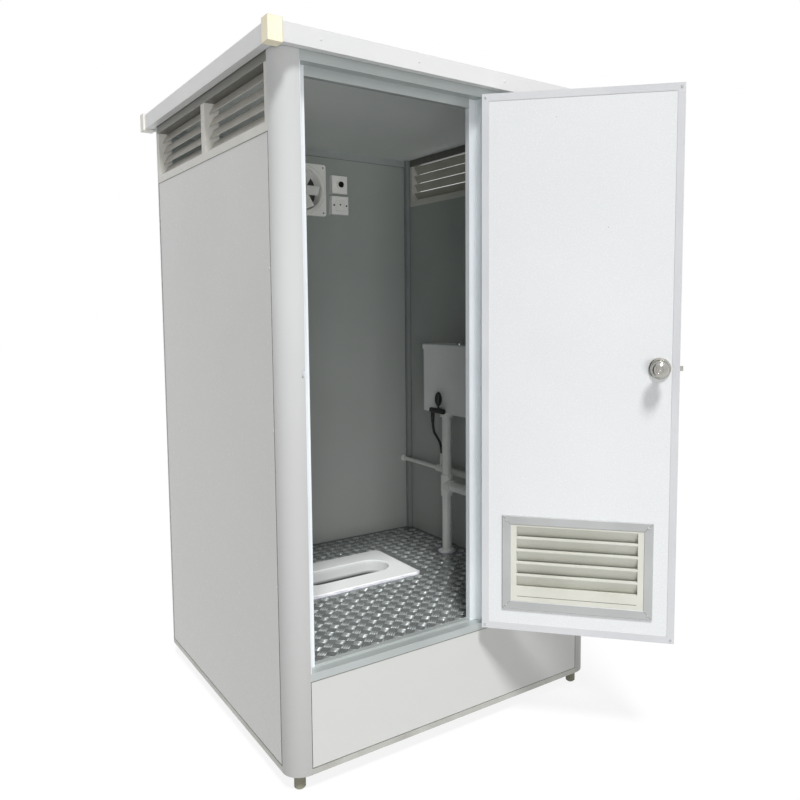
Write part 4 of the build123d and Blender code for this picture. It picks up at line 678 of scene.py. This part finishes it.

# Painted shade of a drip groove: a dark strip along the rail under the vent's blades
GROOVE_LEVEL = 0.501
GROOVE_HALF = 0.0011
GROOVE_RAIL = 0.004
GROOVE_FACE = DOOR_INSIDE - GROOVE_RAIL
GROOVE_PROUD = 0.0004
GROOVE_CROWN = GROOVE_HALF * 0.6
GROOVE_INSET = 0.052
GROOVE_START = VENT_LEFT + GROOVE_INSET
groove_outline = [
    on_door(GROOVE_START, GROOVE_FACE + GROOVE_PROUD, GROOVE_LEVEL - GROOVE_HALF),
    on_door(GROOVE_START, GROOVE_FACE - GROOVE_PROUD, GROOVE_LEVEL - GROOVE_CROWN),
    on_door(GROOVE_START, GROOVE_FACE - GROOVE_PROUD, GROOVE_LEVEL + GROOVE_CROWN),
    on_door(GROOVE_START, GROOVE_FACE + GROOVE_PROUD, GROOVE_LEVEL + GROOVE_HALF),
]
groove_run = DOOR_ALONG * (VENT_RIGHT - VENT_LEFT - 2 * GROOVE_INSET)
piece("vent_drip_groove_shade", *prisms([groove_outline], groove_run), "door", "vent_blade", GASKET, smooth=False)

# Dark seams inside, where the walls meet the posts and the top rail
SEAM_WIDE = 0.0022
SEAM_PROUD = 0.0008
seam_outlines = []
for side in (-1, 1):
    seam_outlines.append(
        [
            (side * (POST_X - SEAM_WIDE), INNER_Y, FLOOR_TOP),
            (side * POST_X, INNER_Y, FLOOR_TOP),
            (side * POST_X, INNER_Y - SEAM_PROUD, FLOOR_TOP),
            (side * (POST_X - SEAM_WIDE), INNER_Y - SEAM_PROUD, FLOOR_TOP),
        ]
    )
    seam_outlines.append(
        [
            (side * INNER_X, POST_Y - SEAM_WIDE, FLOOR_TOP),
            (side * INNER_X, POST_Y, FLOOR_TOP),
            (side * (INNER_X - SEAM_PROUD), POST_Y, FLOOR_TOP),
            (side * (INNER_X - SEAM_PROUD), POST_Y - SEAM_WIDE, FLOOR_TOP),
        ]
    )
upright_seams = prisms(seam_outlines, UP * (HEAD_BOTTOM - FLOOR_TOP))
piece("inner_corner_seams", *upright_seams, "cabin", "wall_panel", GASKET, smooth=False)
top_outline = [
    (-POST_X, INNER_Y, HEAD_BOTTOM - SEAM_WIDE / 2),
    (-POST_X, INNER_Y, HEAD_BOTTOM + SEAM_WIDE / 2),
    (-POST_X, INNER_Y - SEAM_PROUD, HEAD_BOTTOM + SEAM_WIDE / 2),
    (-POST_X, INNER_Y - SEAM_PROUD, HEAD_BOTTOM - SEAM_WIDE / 2),
]
piece(
    "inner_top_seam", *prisms([top_outline], (2 * POST_X, 0, 0)), "cabin", "wall_panel", GASKET, smooth=False
)

# Rosette where the thin supply pipe comes through the back wall
SUPPLY = (0.538, 0.723)
ROSETTE = (
    (0.0165, 0.0), (0.0163, 0.0040), (0.0150, 0.0075), (0.0125, 0.0100), (0.0118, 0.0180), (0.0104, 0.0190),
)
rosette_points, rosette_faces = turned([(SUPPLY[0], INNER_Y, SUPPLY[1])], (0, -1, 0), ROSETTE, SIDES_MIDDLE)
piece("supply_rosette", rosette_points, rosette_faces[:-1], "cabin", "white_pipe")

# Weather louvre over the fan's duct, on the outside of the back wall
COVER_HALF = 0.1175
COVER_BORDER = 0.014
COVER_DEPTH = 0.030
COVER_BLADES = 8
COVER_SKIN = 0.0016
COVER_CHAMFER = 0.004
COVER_EDGE = HALF_D + COVER_DEPTH - COVER_CHAMFER
cover_frame = []
for edge in (-1, 1):
    inside = edge * (COVER_HALF - COVER_BORDER)
    cover_frame.append(
        [(edge * COVER_HALF, HALF_D, -COVER_HALF), (inside, HALF_D, -COVER_HALF),
         (inside, HALF_D + COVER_DEPTH, -COVER_HALF),
         (edge * COVER_HALF, COVER_EDGE, -COVER_HALF)]
    )
centre = Vector((FAN_CENTRE[0], 0.0, FAN_CENTRE[1]))
cover_uprights = prisms([[centre + Vector(p) for p in bar] for bar in cover_frame], UP * 2 * COVER_HALF)
piece("fan_cover_uprights", *cover_uprights, "cabin", "fan_plastic", smooth=False)
reach = COVER_HALF - COVER_BORDER
cover_bars = []
for edge in (-1, 1):
    cover_bars.append(
        [(-reach, HALF_D, edge * COVER_HALF), (-reach, HALF_D, edge * reach),
         (-reach, HALF_D + COVER_DEPTH, edge * reach),
         (-reach, COVER_EDGE, edge * COVER_HALF)]
    )
cover_levels = prisms([[centre + Vector(p) for p in bar] for bar in cover_bars], (2 * reach, 0, 0))
piece("fan_cover_rails", *cover_levels, "cabin", "fan_plastic", smooth=False)
blade_step = 2 * reach / COVER_BLADES
cover_blades = []
for row in range(COVER_BLADES):
    high = reach - row * blade_step
    low = high - blade_step + 2 * COVER_SKIN
    near = HALF_D + SKIN
    far = COVER_EDGE
    cover_blades.append(
        [(-reach, near, high), (-reach, near, high - COVER_SKIN), (-reach, far, low - COVER_SKIN),
         (-reach, far, low)]
    )
cover_slats = prisms([[centre + Vector(p) for p in bar] for bar in cover_blades], (2 * reach, 0, 0))
piece("fan_cover_blades", *cover_slats, "cabin", "motor_metal", DARK_PLASTIC, smooth=False)

# Fan: a rolled rim round the duct, and screws in the corners of the plate
FAN_FACE = 0.580
FAN_SCREW_REACH = 0.103
FAN_RIM = (
    (0.1120, 0.0), (0.1110, 0.0040), (0.1070, 0.0070), (0.1020, 0.0070), (0.0985, 0.0045), (0.0975, 0.0),
    (0.0975, -0.010),
)
rim_points, rim_faces = turned([(FAN_CENTRE[0], FAN_FACE, FAN_CENTRE[1])], (0, -1, 0), FAN_RIM, SIDES_FAN)
piece("fan_rim", rim_points, rim_faces[:-1], "cabin", "fan_plastic")
SCREW = ((0.0042, 0.0), (0.0041, 0.0012), (0.0030, 0.0020), (0.0014, 0.0021), (0.0010, 0.0012))
fan_screws = [
    (FAN_CENTRE[0] + side_x * FAN_SCREW_REACH, FAN_FACE, FAN_CENTRE[1] + side_z * FAN_SCREW_REACH)
    for side_x in (-1, 1)
    for side_z in (-1, 1)
]
piece("fan_screws", *turned(fan_screws, (0, -1, 0), SCREW, SIDES_SMALL), "cabin", "hinge_steel", RIVET_STEEL)

# Switch: a screw on each side and an indicator on the rocker
SWITCH_FACE = 0.572
SWITCH_SCREW_REACH = 0.032
MARK_LIFT = 0.004
switch_screws = [
    (SWITCH_CENTRE[0] + side * SWITCH_SCREW_REACH, SWITCH_FACE, SWITCH_CENTRE[1]) for side in (-1, 1)
]
piece("switch_screws", *turned(switch_screws, (0, -1, 0), SCREW, SIDES_SMALL), "cabin", "motor_metal")
rocker_mark = [(SWITCH_CENTRE[0], SWITCH_FACE - SKIN, SWITCH_CENTRE[1] + MARK_LIFT)]
MARK = ((0.0040, 0.0), (0.0036, 0.0006), (0.0022, 0.0008), (0.0008, 0.0008))
piece("rocker_mark", *turned(rocker_mark, (0, -1, 0), MARK, SIDES_SMALL), "rocker", "motor_metal")

# Lamp holder: a ridged metal sleeve in its socket with a contact at the bottom
SLEEVE_RIM = (0.0139, 0.0)
SLEEVE_RIDGES = 5
SLEEVE_PITCH = 0.004
SLEEVE_RIDGE = ((0.0122, 0.0008), (0.0138, 0.0028))
SLEEVE_CONTACT = ((0.0122, -0.0215), (0.0050, -0.0220), (0.0046, -0.0170), (0.0012, -0.0165))
sleeve = [SLEEVE_RIM]
for ridge in range(SLEEVE_RIDGES):
    depth = -SLEEVE_PITCH * ridge
    sleeve.extend((radius, depth - drop) for radius, drop in SLEEVE_RIDGE)
sleeve.extend(SLEEVE_CONTACT)
LAMP_FACE = 0.560
socket_spots = [(LAMP_CENTRE[0], LAMP_FACE, LAMP_CENTRE[1])]
socket_sleeve = turned(socket_spots, (0, -1, 0), sleeve, SIDES_SLEEVE)
piece("lamp_socket_sleeve", *socket_sleeve, "cabin", "motor_metal", SOCKET)

# Ferrules on the ends of the fill hose
FERRULE = (
    (0.0060, -0.0015), (0.0078, -0.0010), (0.0078, 0.0015), (0.0072, 0.0030), (0.0078, 0.0040),
    (0.0076, 0.0150), (0.0070, 0.0165), (0.0076, 0.0180), (0.0074, 0.0215), (0.0062, 0.0220),
)
upper_ferrule = piece(
    "hose_ferrule_upper", *turned([HOSE_ROUTE[0]], (0, 0, -1), FERRULE, SIDES_FERRULE),
    "cabin", "black_plastic",
)
lower_ferrule = piece(
    "hose_ferrule_lower", *turned([HOSE_ROUTE[-1]], (0, 0, 1), FERRULE, SIDES_FERRULE),
    "cabin", "white_pipe",
)

# Floor, background and lamps; what is seen is white, what only lights the part is dimmer
STUDIO_REACH = 30
STUDIO_CORNERS = ((-1, -1), (1, -1), (1, 1), (-1, 1))
FLOOR_UNSEEN = (0.45, 0.45, 0.45, 1.0)
FLOOR_SEEN = (0.9, 0.9, 0.9, 1.0)
FLOOR_GLOW = 0.88
WHITE = (1.0, 1.0, 1.0, 1.0)
WORLD_UNSEEN = 0.29
ground = bpy.data.meshes.new("studio_floor")
ground_points = [(x * STUDIO_REACH, y * STUDIO_REACH, 0) for x, y in STUDIO_CORNERS]
ground.from_pydata(ground_points, [], [(0, 1, 2, 3)])
floor_material = bpy.data.materials.new("studio_floor")
floor_material.use_nodes = True
floor_tree = floor_material.node_tree
floor_tree.nodes.clear()
ray = add(floor_tree, "ShaderNodeLightPath")
seen = add(
    floor_tree, "ShaderNodeMath", {0: ray["Is Camera Ray"], 1: ray["Is Glossy Ray"]}, operation="MAXIMUM"
)[0]
plain = add(floor_tree, "ShaderNodeBsdfDiffuse", {"Color": FLOOR_UNSEEN})[0]
white = add(floor_tree, "ShaderNodeBsdfDiffuse", {"Color": FLOOR_SEEN})[0]
glow = add(floor_tree, "ShaderNodeEmission", {"Color": WHITE, "Strength": 1.0})[0]
bright = add(floor_tree, "ShaderNodeMixShader", {0: FLOOR_GLOW, 1: white, 2: glow})[0]
mixed = add(floor_tree, "ShaderNodeMixShader", {0: seen, 1: plain, 2: bright})[0]
add(floor_tree, "ShaderNodeOutputMaterial", {"Surface": mixed})
ground.materials.append(floor_material)
floor = bpy.data.objects.new("studio_floor", ground)
bpy.context.scene.collection.objects.link(floor)

world = bpy.data.worlds.new("studio")
bpy.context.scene.world = world
world.use_nodes = True
sky = world.node_tree
sky.nodes.clear()
ray = add(sky, "ShaderNodeLightPath")
seen = add(sky, "ShaderNodeMath", {0: ray["Is Camera Ray"], 1: ray["Is Glossy Ray"]}, operation="MAXIMUM")[0]
seen = add(sky, "ShaderNodeMath", {0: seen, 1: ray["Is Transmission Ray"]}, operation="MAXIMUM")[0]
strength = spread(sky, seen, 0.0, 1.0, WORLD_UNSEEN, 1.0)
back = add(sky, "ShaderNodeBackground", {"Color": WHITE, "Strength": strength})[0]
add(sky, "ShaderNodeOutputWorld", {"Surface": back})


def lamp(name, kind, place, aim, strength):
    """A lamp of a kind at a place, turned towards a point; only a sun leaves a glare on glossy faces."""
    light = bpy.data.lights.new(name, kind)
    light.energy = strength
    made = bpy.data.objects.new(name, light)
    made.location = place
    made.rotation_euler = (aim - place).to_track_quat("-Z", "Y").to_euler()
    made.visible_glossy = kind == "SUN"
    bpy.context.scene.collection.objects.link(made)
    return light


# Soft sun from the upper left in front, and low panels far off that light the inside and the back
KEY_TOWARDS = Vector((0.187, 0.463, -0.866))
KEY_ANGLE = math.radians(11)
KEY_STRENGTH = 3.3
KEY_AWAY = 6
FILL_SIZE = (3.0, 1.2)
INSIDE = Vector((0.2, 0.6, 1.6))
BEHIND = Vector((0.0, 0.65, 1.2))
lamp("key", "SUN", KEY_TOWARDS * -KEY_AWAY, Vector(), KEY_STRENGTH).angle = KEY_ANGLE
for name, place, aim, strength in (
    ("fill_front", Vector((-3.2, -8.2, 0.75)), INSIDE, 220.0),
    ("fill_back", Vector((4.6, 8.0, 0.75)), BEHIND, 115.0),
):
    panel = lamp(name, "AREA", place, aim, strength)
    panel.shape = "RECTANGLE"
    panel.size, panel.size_y = FILL_SIZE

bpy.context.scene.view_settings.view_transform = "Standard"
